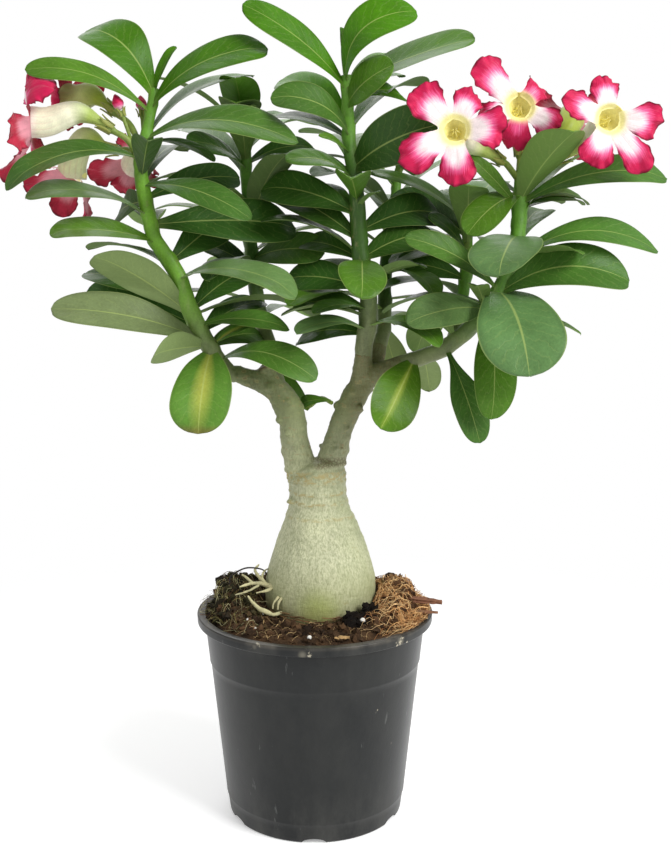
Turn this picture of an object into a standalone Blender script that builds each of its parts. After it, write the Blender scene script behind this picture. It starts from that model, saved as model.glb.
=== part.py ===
# Potted desert rose (Adenium): a swollen caudex, leafy shoots and eight blooms, in a nursery pot.
# +Z is up, the plant's front looks along -Y, and the origin is the centre of the pot's flat base.
# Every size here is in millimetres, and MM turns it into Blender's metres.

import math

import bmesh
import bpy
from mathutils import Matrix, Vector, noise
from mathutils.bvhtree import BVHTree

MM = 0.001
OBJECT_NAME = "potted_desert_rose"
GAP = 0.3  # clearance between two pieces that touch

# Pot
POT_HEIGHT = 131.2
POT_BASE_RADIUS = 57.0  # where the wall's cone meets the ground
POT_WALL_RADIUS = 70.0  # at the underside of the rim
POT_RIM_RADIUS = 75.0
POT_LIP_HEIGHT = 5.9
POT_WALL = 1.6
POT_FLOOR = 3.5
POT_EDGE_BEVEL = 1.5  # rounding of the base's edge
POT_MIDDLE = 60.0  # height of the inside wall's middle ring
POT_RIM_ROUNDING = 0.9
POT_SHOULDER = (0.8, 2.0)  # inside the rim: how far the wall widens, and how far below the lip it starts
POT_STEP_HEIGHTS = (12.0, 100.0)  # faint moulded steps round the wall
POT_STEP = 0.5
POT_STEP_SLOPE = 0.4  # half the height over which a step rises
POT_SIDES = 28
NOTCH_COUNT = 6
NOTCH_SIZE = (15.0, 2.5)  # drainage notch in the base's edge: width and height
NOTCH_START = 42.0  # distance from the axis where a notch begins
NOTCH_BEYOND = 8.0  # how far its cutter reaches past the wall
DRAIN_RADIUS = 3.5
DRAIN_FROM_NOTCH = 1.0
DRAIN_DEPTH = 4.0

# Soil. Each mound is x, y, height, spread.
SOIL_LEVEL = 132.0
SOIL_EDGE_BELOW_RIM = 1.5
SOIL_MOUNDS = (
    (52, 4, 15, 17),
    (-50, 8, 15, 17),
    (4, 50, 9, 22),
    (-28, 36, 5, 14),
    (38, -36, 4, 15),
    (-42, -30, 3, 14),
)
SOIL_LUMP = 2.2
SOIL_LUMP_SIZE = 9.0
SOIL_RINGS = (62, 55, 48, 41)  # radii of the surface's rings inside the pot's edge

# Bark chip on the soil's right side
CHIP_START = (59, -14)
CHIP_END = (79, -14)
CHIP_WIDTH = 5.0
CHIP_NARROWING = 0.45  # share of its width that it loses towards the outer end
CHIP_HEIGHT = 2.4
CHIP_WORN_EDGE = 0.6

# Caudex: height, centre x, radius. Below the soil line it is a plain turned root.
CAUDEX = (
    (98, 3.5, 12),
    (104, 3.5, 20),
    (114, 3.5, 27.5),
    (126, 3.5, 33.6),
    (134, 3.5, 34.9),
    (142, 3.5, 35.2),
    (151, 3.7, 34.9),
    (159, 3.7, 33.4),
    (166, 3.6, 31.6),
    (174, 3.4, 28.8),
    (182, 3.2, 25.6),
    (190, 3.0, 22.2),
    (198, 2.8, 19.4),
    (207, 2.2, 18.0),
    (217, 1.8, 17.6),
    (223, 1.6, 17.0),
    (228, 1.5, 13.0),
)
CAUDEX_SHAPE_FROM = 150  # above this the caudex is slightly uneven
CAUDEX_UNEVEN = 0.9
CAUDEX_SWELL_SIZE = 26.0
CAUDEX_SHAPE_RISE = 12.0  # height over which the unevenness comes in
HOLE_RADIUS = 35.6  # of the soil's hole round the caudex
HOLE_STRAIGHT_TO = 128  # the hole follows the root's taper below this height
HOLE_CLEARANCE = 1.5

# Bark branches: x, y, z, radius of each station
LEFT_BRANCH = (
    (-4, 0, 208, 11.5), (-9, 0, 226, 9.4), (-12.5, 0, 241, 8.4), (-14, -1, 254, 8.3),
    (-19, -2, 267, 8.2), (-25, -3, 277, 7.4), (-35, -5, 281.5, 5.6), (-47.2, -6, 282.8, 5.2),
)
LEFT_BACK_LIMB = ((-21, -2, 270, 6.0), (-25, 3, 281, 5.6), (-27.8, 9.5, 295, 5.0))
LEFT_STUB = ((-24, -3, 276, 5.0), (-31, -5.5, 288, 4.4))
RIGHT_BRANCH = (
    (6, 0, 208, 11.5), (10, 0, 226, 9.2), (15, 0, 243, 8.0), (20, -1, 257, 7.9),
    (27, -2.5, 272, 7.9), (35, -4, 281, 6.6), (45, -6, 285.5, 5.6), (55.2, -8, 289.6, 5.2),
)
CENTRE_LIMB = ((27, -3, 274, 6.4), (29.5, -7, 285, 6.0), (30.2, -9.8, 296.5, 5.5))
CENTRE_BACK_LIMB = ((32, -2, 277, 5.8), (37.5, 4, 288, 5.0), (40.8, 9.7, 299.4, 4.6))
BRANCH_KNOBS = ((14.5, -2, 263, 2.8), (28, -9, 262, 2.4), (-22, -6, 254, 2.2), (-15, -8, 203, 2.4))
SURFACE_ROOTS = (
    ((-22, -20, 146), (-28, -19, 149), (-35, -16, 151.5), (-44, -13, 152), (-49, -13, 149)),
    ((-33, -17, 151), (-39, -10, 153), (-46, -7, 154)),
    ((-17, -24, 141), (-28, -26, 141.5), (-35, -26, 142.5), (-41, -24, 145)),
)
SURFACE_ROOT_RADIUS = 1.3
SURFACE_ROOT_LIFT = 1.2  # between the soil and the underside of a root

# Green shoots: x, y, z, radius of each station
SHOOTS = {
    "shoot_left": (
        (
            (-47.8, -6.1, 282.9, 5.2), (-51.8, -6.4, 283.4, 5.2), (-57, -8, 289, 5.2), (-64, -10, 300, 5.2),
            (-73, -14, 318, 5.1), (-81, -18, 343, 4.9), (-90, -19, 358, 4.6), (-95, -20, 367, 4.4),
            (-98, -20, 382, 4.2), (-101, -20, 398, 4.0), (-101, -20, 410, 3.8), (-98, -19, 425, 3.4),
            (-94, -16, 445, 2.8), (-93, -15, 452, 2.0),
        ),
    ),
    "shoot_left_back": (
        (
            (-27.9, 9.8, 295.6, 5.0), (-28.6, 11.4, 299, 5.0), (-34, 22, 314, 4.6), (-40, 32, 346, 4.3),
            (-42, 38, 377, 4.1), (-44, 40, 408, 3.6), (-45, 42, 434, 2.6), (-45, 42, 440, 2.0),
        ),
    ),
    "shoot_centre": (
        (
            (30.3, -10, 297.1, 5.4), (30.5, -10.9, 301, 5.4), (33, -13, 315, 5.3), (33, -14, 329, 5.2),
            (28, -16, 358, 4.9), (26, -16, 388, 4.5), (22, -14, 417, 3.9), (20, -12, 446, 3.3),
            (19, -12, 460, 2.2),
        ),
    ),
    "shoot_centre_back": (
        (
            (41, 10, 300, 4.6), (42, 11.7, 303.5, 4.5), (44, 18, 314, 4.4), (45, 30, 346, 4.1),
            (50, 42, 377, 3.7), (54, 50, 410, 2.4),
        ),
    ),
    "shoot_right": (
        (
            (55.8, -8.2, 289.9, 5.1), (59.4, -8.9, 291.4, 5.1), (67, -10.5, 294, 5.0), (80, -14, 300, 5.0),
            (95, -18, 313, 4.9), (108, -20, 329, 4.8), (115, -20, 343, 4.7), (119, -20, 354, 4.6),
            (122, -18, 372, 4.4), (122, -16, 383, 4.2), (123, -15, 394, 3.9), (122, -14, 405, 3.0),
        ),
        (
            (84, -14, 303, 4.2), (88, 0, 312, 4.0), (93, 14, 330, 3.8), (96, 22, 352, 3.6),
            (97, 26, 378, 2.6),
        ),
    ),
}
SHOOT_STEP = 16
SHOOT_ROUNDNESS = 1

# Petals: heading round the bloom as its viewer sees it, length, width, and where the tip leans.
# A lean of 90 is straight ahead, 0 is flat open and -90 is turned right back.
OPEN_PETALS = (
    (90, 26, 24, -30),
    (162, 25, 23, -20),
    (234, 26, 23, -30),
    (306, 25, 24, -15),
    (18, 26, 23, -25),
)
REFLEXED_PETALS = (
    (60, 33, 22, -125),
    (128, 28, 20, -125),
    (196, 26, 20, -95),
    (270, 28, 21, -50),
    (340, 29, 21, -120),
)
SMALL_PETALS = (
    (72, 21, 19, -130),
    (144, 21, 19, -110),
    (216, 20, 18, -80),
    (288, 17, 17, -100),
    (0, 19, 18, -125),
)

# Blooms: the stalk runs to the calyx, and the corolla from there to its throat
BLOOMS = {
    "bloom_right_front": {
        "shoot": "shoot_right", "stalk": ((122, -15, 399), (114, -20, 408), (108, -24, 411)),
        "throat": (80, -50, 425), "facing": (-0.15, -0.95, 0.12),
        "petals": (
            (123, 27, 23, -5),
            (60, 22, 20, -55),
            (-4, 26, 24, -35),
            (272, 29, 23, -30),
            (211, 31, 24, -25),
        ),
    },
    "bloom_right_middle": {
        "shoot": "shoot_right", "stalk": ((122, -14, 402), (123, -10, 411), (123, -9, 417)),
        "throat": (118, -38, 439), "facing": (0.02, -0.93, 0.25),
        "petals": (
            (133, 32, 25, 0),
            (62, 23, 20, -85),
            (-6, 26, 21, -60),
            (264, 27, 23, -125),
            (198, 21, 20, -60),
        ),
    },
    "bloom_right_end": {
        "shoot": "shoot_right", "stalk": ((122, -14, 400), (134, -16, 406), (145, -19, 412)),
        "throat": (167, -48, 431), "facing": (0.1, -0.96, 0.05),
        "petals": (
            (164, 31, 23, 5),
            (100, 23, 22, -40),
            (4, 27, 23, -25),
            (303, 35, 22, -15),
            (248, 23, 22, -25),
        ),
    },
    "bloom_right_back": {
        "shoot": "shoot_right", "stalk": ((122, -13, 403), (134, -4, 413), (143, 0, 420)),
        "throat": (158, 20, 438), "facing": (0.3, 0.88, 0.3), "petals": OPEN_PETALS,
    },
    "bloom_left_front": {
        "shoot": "shoot_left", "stalk": ((-101, -20, 408), (-107, -26, 421), (-119, -28, 429)),
        "throat": (-161, -34, 431), "facing": (-0.98, -0.18, -0.03), "petals": REFLEXED_PETALS,
    },
    "bloom_left_back": {
        "shoot": "shoot_left", "stalk": ((-100, -19, 414), (-108, -12, 431), (-120, -7, 441)),
        "throat": (-150, 14, 450), "facing": (-0.8, 0.55, 0.1), "petals": SMALL_PETALS,
    },
    "bloom_left_hanging": {
        "shoot": "shoot_left", "stalk": ((-101, -19, 409), (-110, -8, 417), (-120, -3, 418)),
        "throat": (-148, 6, 402), "facing": (-0.68, 0.12, -0.72), "petals": OPEN_PETALS,
    },
    "bloom_left_under": {
        "shoot": "shoot_left", "stalk": ((-101, -19, 410), (-104, 0, 419), (-106, 12, 421)),
        "throat": (-115, 40, 412), "facing": (-0.3, 0.85, -0.4), "petals": OPEN_PETALS,
    },
}
BUDS = {
    "bud_left_1": ((-104, -23, 415), (-107, -26, 426), (-111, -27, 438)),
    "bud_left_2": ((-99, -18, 420), (-101, -11, 430), (-102, -8, 440)),
}
BUD_SHOOT = "shoot_left"
BUD_LENGTH = 9.0
BUD_RADIUS = 2.4
BUD_STALK_RADIUS = 1.1
STALK_RADIUS = 1.9
CALYX_RADIUS = 3.7
CALYX_LENGTH = 5.0
FUNNEL_FOOT = (2.5, 6.0)  # radius and length of the narrow part above the calyx
FUNNEL_WIDENING = 0.4  # of the radius over the narrow part
FUNNEL_BENDS = ((0.35, 0.4, 6.4), (0.75, 1.0, 8.2))  # share of the way to the throat, share turned, radius
THROAT_RADIUS = 9.0
THROAT_DEPTH = 15.0
PETAL_THICKNESS = 0.8
PETAL_FOOT = 4.5  # half width at the throat
PETAL_BROADEST = 0.66
PETAL_START_LEAN = 40
PETAL_TWIST = 14
PETAL_CUP = 0.09
PETAL_SHARPNESS = 1.6  # how slowly a petal widens from its foot
PETAL_TIP = 0.4  # share of the width at the tip
PETAL_INSET = (2.0, 1.2)  # a petal starts this far inside the throat's edge and behind it
PETAL_ROWS = (0.0, 0.34, 0.7, 1.0)
PETAL_COLUMNS = (-1.0, 0.0, 1.0)

# The low leaf behind the fork: its own stalk from a knob on the right branch, then a blade like the others
LOW_LEAF_STALK = ((10.8, -1.6, 264.2, 1.3), (4, 8, 266, 1.3), (-3, 15, 260, 1.3), (-7, 17, 259, 1.2))
LOW_LEAF = ((-4, 16, 257.5), (-34, 22, 281), 21, (0.4, -0.7, 0.5), 0.06, 10)

# Leaves
LEAF_THICKNESS = 0.9
LEAF_ROWS = (0.0, 0.32, 0.62, 0.86, 1.0)
SLIM_ROWS = (0.0, 0.4, 0.75, 1.0)
BROAD_FROM = 27  # leaves this wide or more have the finer rows
LEAF_COLUMNS = (-1.0, 0.0, 1.0)
FAR_COLUMNS = (-1.0, 1.0)
LEAF_BROADEST = 0.66
LEAF_STALK = 0.14  # share of the width at the foot
LEAF_TIP = 0.16
LEAF_WAVE = 0.010
LEAF_WAVES = 9  # radians of the edge's wave over the length
LEAF_TWIST = 14  # degrees at most, at the tip
LEAF_SHARPNESS = (2.0, 1.8, 0.8)  # slim leaves widen slowly: most, loss with width, least
LEAF_CLEARANCE = 1.1  # half thickness used when looking for room
LEAF_OUTER_FROM = 0.34  # leaves of one shoot may meet nearer the stem than this
UP = (0, 0, 1)

# Leaves that the front view shows: height of the foot on the shoot's stem, tip, width, the way the upper
# face looks, rise of the midrib's arch as a share of the length, fold of each half in degrees
LEAVES = {
    ("shoot_left", 0): (
        (448, (-136, -12, 482), 26, (0.45, -0.8, 0.4), 0.20, 6),
        (438, (-174, -32, 459), 25, (0, -0.65, 0.75), 0.17, 8),
        (446, (-80, -16, 476), 10, (-0.8, -0.6, 0.2), 0.06, 20),
        (441, (-25, -28, 474), 26, (-0.3, -0.7, 0.6), 0.20, 8),
        (422, (-8, -40, 419), 25, (0, -0.65, 0.75), 0.21, 12),
        (411, (-172, -58, 393), 27, (0, -0.65, 0.75), 0.17, 12),
        (378, (-162, -52, 389), 25, (0, -0.6, 0.8), 0.12, 8),
        (387, (-124, 22, 376), 28, (0, -0.9, 0.4), 0.10, 6),
        (363, (-151, -45, 369), 24, (0, -0.5, 0.85), 0.14, 10),
        (319, (-124, -52, 356), 29, (0.2, 0.95, 0.3), 0.08, 8),
        (329, (-144, 8, 342), 26, (0, -0.75, 0.65), 0.12, 8),
        (400, (-89, -66, 420), 20, (0, 0.3, 1), 0.05, 32),
        (396, (-34, -54, 376), 20, (0.1, -0.8, 0.7), 0.12, 6),
        (421, (-57, -24, 410), 11, (0, -0.4, 1), 0.12, 8),
        (341, (-8, -62, 339), 27, (0.1, -0.55, 0.85), 0.15, 10),
        (303, (-152, -42, 325), 30, (0, -0.75, 0.65), 0.11, 12),
        (301, (-92, -50, 294), 24, (0, 0.9, 0.5), 0.06, 8),
        (298, (-66, -46, 252), 33, (-0.1, -1, 0.3), 0.12, 10),
        (291, (2, -38, 283), 22, (0.1, -0.6, 0.8), 0.20, 8),
        (313, (-14, -22, 312), 18, (0, -0.6, 0.8), 0.12, 8),
        (299, (-37, -12, 314), 10, (0, -0.5, 0.8), 0.10, 12),
        (388, (-46, 12, 402), 22, (0, -0.8, 0.6), 0.12, 6),
        (373, (-12, 10, 392), 32, (0, -0.9, 0.4), 0.08, 8),
        (351, (-52, 22, 380), 26, (0.2, -0.9, 0.4), 0.10, 8),
    ),
    ("shoot_left_back", 0): (
        (433, (-45, -14, 444), 28, (0, -0.3, 1), 0.06, 22),
        (432, (-16, 64, 446), 20, (0, -0.4, 1), 0.12, 8),
        (412, (0, 58, 424), 20, (0, -0.5, 0.9), 0.12, 8),
        (409, (-78, 10, 424), 22, (0, -0.6, 0.8), 0.12, 8),
        (352, (6, 0, 358), 26, (0, -0.8, 0.6), 0.10, 8),
    ),
    ("shoot_centre", 0): (
        (457, (61, -26, 492), 27, (-0.6, -0.8, 0.35), 0.22, 8),
        (452, (-42, -32, 494), 25, (0.4, -0.65, 0.65), 0.10, 8),
        (457, (15, -10, 488), 8, (0.5, -0.8, 0.2), 0.05, 20),
        (453, (92, -36, 477), 24, (-0.15, -0.6, 0.8), 0.10, 10),
        (452, (50, 14, 476), 16, (-0.3, -0.6, 0.8), 0.12, 10),
        (447, (54, 26, 466), 20, (-0.2, -0.6, 0.8), 0.12, 8),
        (443, (47, -40, 458), 24, (-0.3, -0.9, 0.4), 0.12, 8),
        (406, (68, -46, 429), 34, (-0.35, -0.9, 0.3), 0.14, 12),
        (425, (-24, -38, 445), 24, (0.25, -0.75, 0.6), 0.20, 8),
        (434, (-22, 24, 461), 26, (0.3, -0.8, 0.5), 0.14, 8),
        (423, (-33, 20, 437), 20, (0, -0.5, 0.9), 0.12, 8),
        (413, (4, -34, 424), 8, (0.3, -0.5, 0.8), 0.08, 12),
        (398, (-15, -47, 409), 21, (0.1, -0.6, 0.8), 0.14, 8),
        (402, (-9, -18, 414), 12, (0, -0.6, 0.8), 0.10, 8),
        (379, (-34, 6, 389), 26, (0, -0.75, 0.65), 0.12, 8),
        (364, (-32, 12, 374), 26, (0, -0.75, 0.65), 0.10, 8),
        (387, (21, -74, 399), 23, (0, 0.3, 1), 0.04, 30),
        (382, (38, -34, 392), 10, (0, -0.4, 0.9), 0.08, 12),
        (404, (60, -24, 402), 11, (0, -0.4, 1), 0.24, 8),
        (352, (28, -72, 334), 28, (0, -0.3, 1), 0.08, 10),
        (310, (-10, -42, 311), 22, (0, -0.4, 1), 0.12, 14),
        (322, (0, -38, 322), 16, (0, -0.4, 1), 0.12, 10),
        (312, (75, -46, 305), 24, (0, -0.35, 1), 0.16, 10),
        (331, (4, 22, 352), 24, (0, -0.6, 0.8), 0.10, 8),
        (318, (-20, -14, 320), 26, (0, 0.2, 1), 0.10, 8),
        (337, (66, -34, 350), 20, (0, 0.2, 1), 0.12, 8),
        (369, (78, 16, 380), 28, (0, -0.75, 0.65), 0.14, 8),
        (353, (77, -4, 367), 28, (0, -0.75, 0.65), 0.16, 8),
    ),
    ("shoot_centre_back", 0): (
        (311, (56, 30, 272), 20, (-0.2, 0.8, 0.4), 0.08, 8),
    ),
    ("shoot_right", 0): (
        (386, (136, -64, 430), 30, (-0.1, 0.7, 0.7), 0.05, 20),
        (385, (206, -32, 401), 22, (0, -0.25, 1), 0.13, 14),
        (384, (170, 12, 387), 15, (0, -0.4, 1), 0.14, 8),
        (381, (152, 10, 391), 14, (0, -0.4, 1), 0.10, 8),
        (383, (93, -30, 416), 10, (-0.6, -0.5, 0.6), 0.08, 14),
        (391, (92, 26, 400), 14, (0, -0.4, 1), 0.10, 8),
        (391, (86, -38, 376), 23, (-0.2, -0.7, 0.7), 0.14, 8),
        (366, (101, -84, 347), 38, (0, -0.4, 0.9), 0.08, 8),
        (334, (53, -42, 366), 20, (0.3, -0.7, 0.7), 0.10, 8),
        (352, (200, -32, 357), 26, (0, -0.6, 0.8), 0.20, 10),
        (350, (153, -52, 363), 18, (0, 0.4, 0.9), 0.08, 10),
        (331, (182, -42, 345), 31, (-0.2, -0.7, 0.7), 0.17, 12),
        (334, (116, -78, 291), 44, (0, -0.85, 0.5), 0.14, 8),
        (326, (104, -52, 261), 23, (0.1, -1, 0.2), 0.12, 8),
        (300, (94, -38, 248), 22, (0.1, -1, 0.3), 0.14, 8),
        (323, (54, -54, 318), 26, (0, -0.85, 0.5), 0.12, 8),
        (292, (38, -46, 255), 28, (0.1, -1, 0.3), 0.10, 8),
        (294, (74, 26, 268), 18, (0, 0.5, 0.7), 0.10, 8),
        (305, (60, -36, 318), 14, (0, 0.2, 1), 0.10, 8),
        (323, (92, -62, 340), 13, (0, 0.4, 0.9), 0.06, 16),
    ),
    ("shoot_right", 1): (
        (374, (32, 0, 398), 25, (0, -0.5, 0.8), 0.10, 8),
        (366, (48, 38, 393), 26, (0, -0.5, 0.8), 0.10, 8),
        (372, (84, 62, 398), 18, (0, -0.5, 0.8), 0.10, 8),
        (358, (46, 14, 350), 24, (0, -0.5, 0.8), 0.12, 8),
    ),
}

# Leaves that the front view hides, set round each stem by the golden angle: lowest and highest foot, count,
# first heading, and the sweep of the headings, where 0 is to the right and 90 straight back
FAR_LEAVES = {
    ("shoot_left", 0): (306, 436, 5, 20, 180),
    ("shoot_left_back", 0): (312, 432, 15, 60, 360),
    ("shoot_centre", 0): (318, 440, 5, 40, 180),
    ("shoot_centre_back", 0): (308, 408, 13, 80, 360),
    ("shoot_right", 0): (300, 384, 5, 10, 180),
    ("shoot_right", 1): (318, 374, 6, 100, 360),
}
GOLDEN_ANGLE = 137.5
FAR_LENGTHS = (64, 76, 70, 82)
FAR_WIDTHS = (23, 26, 24, 27)
FAR_LIFT_LOW = -4  # degrees above level at the lowest foot
FAR_LIFT_HIGH = 34
FAR_ARCH = 0.12
FAR_FOLD = 10
SWINGS = (0, 6, -6, 12, -12, 18, -18, 26, -26)  # degrees tried, in turn, for a leaf that has no room


def clear_scene():
    for obj in list(bpy.data.objects):
        bpy.data.objects.remove(obj)


def new_collection(name):
    collection = bpy.data.collections.new(name)
    bpy.context.scene.collection.children.link(collection)
    return collection


def new_material(name, colour, roughness):
    material = bpy.data.materials.new(name)
    material.use_nodes = True
    shader = material.node_tree.nodes["Principled BSDF"]
    shader.inputs["Base Color"].default_value = (*colour, 1)
    shader.inputs["Roughness"].default_value = roughness
    shader.inputs["Metallic"].default_value = 0
    return material


def add_object(name, mesh, material, collection, smooth_angle=40):
    """Links a mesh as one named object, with smooth shading up to the given angle."""
    mesh.name = name
    mesh.materials.clear()
    mesh.materials.append(material)
    mesh.shade_smooth()
    mesh.set_sharp_from_angle(angle=math.radians(smooth_angle))
    obj = bpy.data.objects.new(name, mesh)
    collection.objects.link(obj)
    return obj


def mesh_of(shape, name):
    """Turns a bmesh into a mesh and frees it."""
    mesh = bpy.data.meshes.new(name)
    shape.to_mesh(mesh)
    shape.free()
    return mesh


def evaluated_mesh(obj):
    """The object's mesh with its modifiers applied. The object is removed."""
    bpy.context.view_layer.update()
    graph = bpy.context.evaluated_depsgraph_get()
    mesh = bpy.data.meshes.new_from_object(obj.evaluated_get(graph))
    bpy.data.objects.remove(obj)
    return mesh


def fused(name, meshes):
    """One closed mesh from several that overlap: a union of the first with a collection of the rest."""
    base = bpy.data.objects.new(name, meshes[0])
    bpy.context.scene.collection.objects.link(base)
    others = new_collection(name + "_pieces")
    for mesh in meshes[1:]:
        others.objects.link(bpy.data.objects.new(mesh.name, mesh))
    union = base.modifiers.new("union", "BOOLEAN")
    union.operation = "UNION"
    union.solver = "MANIFOLD"
    union.operand_type = "COLLECTION"
    union.collection = others
    mesh = evaluated_mesh(base)
    for obj in list(others.objects):
        bpy.data.objects.remove(obj)
    bpy.data.collections.remove(others)
    return mesh


def smooth_stations(stations, step):
    """Stations about `step` apart on the smooth curve (Catmull-Rom) through the given ones."""
    rows = [[float(value) for value in station] for station in stations]
    before_first = [2 * a - b for a, b in zip(rows[0], rows[1])]
    after_last = [2 * a - b for a, b in zip(rows[-1], rows[-2])]
    rows = [before_first, *rows, after_last]
    found = []
    for i in range(1, len(rows) - 2):
        before, start, end, after = rows[i - 1:i + 3]
        count = max(1, round(math.dist(start[:3], end[:3]) / step))
        for k in range(count):
            t = k / count
            station = []
            for a, b, c, d in zip(before, start, end, after):
                square = 2 * a - 5 * b + 4 * c - d
                cube = 3 * b - a - 3 * c + d
                station.append(0.5 * (2 * b + (c - a) * t + square * t * t + cube * t ** 3))
            found.append(station)
    found.append(rows[-2])
    return found


def tube_mesh(name, stations, step, roundness=2):
    """A solid tube through stations of x, y, z and radius: a curve with a bevel and filled caps."""
    curve = bpy.data.curves.new(name, "CURVE")
    curve.dimensions = "3D"
    curve.bevel_depth = MM
    curve.bevel_resolution = roundness
    curve.use_fill_caps = True
    curve.twist_mode = "MINIMUM"
    points = smooth_stations(stations, step)
    spline = curve.splines.new("POLY")
    spline.points.add(len(points) - 1)
    for point, (x, y, z, radius) in zip(spline.points, points):
        point.co = (x * MM, y * MM, z * MM, 1)
        point.radius = radius
    guide = bpy.data.objects.new(name, curve)
    bpy.context.scene.collection.objects.link(guide)
    mesh = evaluated_mesh(guide)
    bpy.data.curves.remove(curve)
    shape = bmesh.new()
    shape.from_mesh(mesh)
    bmesh.ops.remove_doubles(shape, verts=shape.verts, dist=0.005 * MM)
    bmesh.ops.recalc_face_normals(shape, faces=shape.faces)
    bpy.data.meshes.remove(mesh)
    return mesh_of(shape, name)


def tree_of(mesh):
    """Search tree of a mesh, in millimetres."""
    points = [vertex.co / MM for vertex in mesh.vertices]
    return BVHTree.FromPolygons(points, [tuple(face.vertices) for face in mesh.polygons])


# Pot

def pot_wall_radius(height):
    """Outer radius of the wall, with its moulded steps: the wall stands a little further out above each."""
    top = POT_HEIGHT - POT_LIP_HEIGHT
    radius = POT_BASE_RADIUS + (POT_WALL_RADIUS - POT_BASE_RADIUS) * height / top
    below = sum(1 for step in POT_STEP_HEIGHTS if height < step)
    return radius - POT_STEP * below


def pot_profile():
    """Half section of the pot: up the inside from the floor's centre, over the rim and down the outside."""
    lip = POT_HEIGHT - POT_LIP_HEIGHT
    inside = [(0, POT_FLOOR), (pot_wall_radius(POT_FLOOR) - POT_WALL, POT_FLOOR)]
    wider, below = POT_SHOULDER
    inside.append((pot_wall_radius(POT_MIDDLE) - POT_WALL, POT_MIDDLE))
    inside.append((pot_wall_radius(lip) - POT_WALL, lip - below))
    rim = [(POT_WALL_RADIUS - POT_WALL + wider, POT_HEIGHT - wider), (POT_WALL_RADIUS, POT_HEIGHT)]
    rim += [(POT_RIM_RADIUS - POT_RIM_ROUNDING, POT_HEIGHT), (POT_RIM_RADIUS, POT_HEIGHT - POT_RIM_ROUNDING)]
    rim += [(POT_RIM_RADIUS, lip + POT_RIM_ROUNDING), (POT_RIM_RADIUS - POT_RIM_ROUNDING, lip)]
    rim += [(pot_wall_radius(lip), lip)]
    outside = []
    for step in reversed(POT_STEP_HEIGHTS):
        for height in (step + POT_STEP_SLOPE, step - POT_STEP_SLOPE):
            outside.append((pot_wall_radius(height), height))
    outside.append((pot_wall_radius(POT_EDGE_BEVEL), POT_EDGE_BEVEL))
    outside += [(pot_wall_radius(0) - POT_EDGE_BEVEL, 0), (0, 0)]
    return inside + rim + outside


def add_cutter(name, shape, cutters):
    cutter = bpy.data.objects.new(name, mesh_of(shape, name))
    cutter.hide_render = True
    cutter.display_type = "WIRE"
    cutters.objects.link(cutter)
    return cutter


def build_pot(material, collection, cutters):
    shape = bmesh.new()
    points = [shape.verts.new((radius * MM, 0, height * MM)) for radius, height in pot_profile()]
    for start, end in zip(points, points[1:]):
        shape.edges.new((start, end))
    pot = add_object("pot", mesh_of(shape, "pot_profile"), material, collection)
    screw = pot.modifiers.new("turn", "SCREW")
    screw.steps = POT_SIDES
    screw.render_steps = POT_SIDES
    screw.use_merge_vertices = True
    screw.merge_threshold = 0.00001
    width, height = NOTCH_SIZE
    reach = POT_BASE_RADIUS - NOTCH_START + NOTCH_BEYOND
    for i in range(NOTCH_COUNT):
        turn = Matrix.Rotation(math.radians(i * 360 / NOTCH_COUNT - 90), 4, "Z")
        shape = bmesh.new()
        place = turn @ Matrix.Translation(((NOTCH_START + reach / 2) * MM, 0, 0))
        size = Matrix.Diagonal((reach * MM, width * MM, 2 * height * MM, 1))
        bmesh.ops.create_cube(shape, size=1, matrix=place @ size)
        add_cutter("notch_%d" % i, shape, cutters)
        shape = bmesh.new()
        from_axis = NOTCH_START + DRAIN_RADIUS + DRAIN_FROM_NOTCH
        place = turn @ Matrix.Translation((from_axis * MM, 0, POT_FLOOR * MM))
        bmesh.ops.create_cone(shape, cap_ends=True, segments=8, radius1=DRAIN_RADIUS * MM,
                              radius2=DRAIN_RADIUS * MM, depth=DRAIN_DEPTH * MM, matrix=place)
        add_cutter("drain_%d" % i, shape, cutters)
    for cutter in cutters.objects:
        cut = pot.modifiers.new("cut_" + cutter.name, "BOOLEAN")
        cut.operation = "DIFFERENCE"
        cut.object = cutter
    return pot


# Soil

def soil_height(x, y):
    """Height of the soil's surface: level, with mounds and lumps."""
    height = SOIL_LEVEL
    for mound_x, mound_y, rise, spread in SOIL_MOUNDS:
        distance = (x - mound_x) ** 2 + (y - mound_y) ** 2
        height += rise * math.exp(-distance / (2 * spread ** 2))
    return height + SOIL_LUMP * noise.noise(Vector((x / SOIL_LUMP_SIZE, y / SOIL_LUMP_SIZE, 0.5)))


def soil_edge_height(x, y):
    """Where the soil meets the pot it stays under the rim's top."""
    return min(soil_height(x, y), POT_HEIGHT - SOIL_EDGE_BELOW_RIM)


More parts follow.
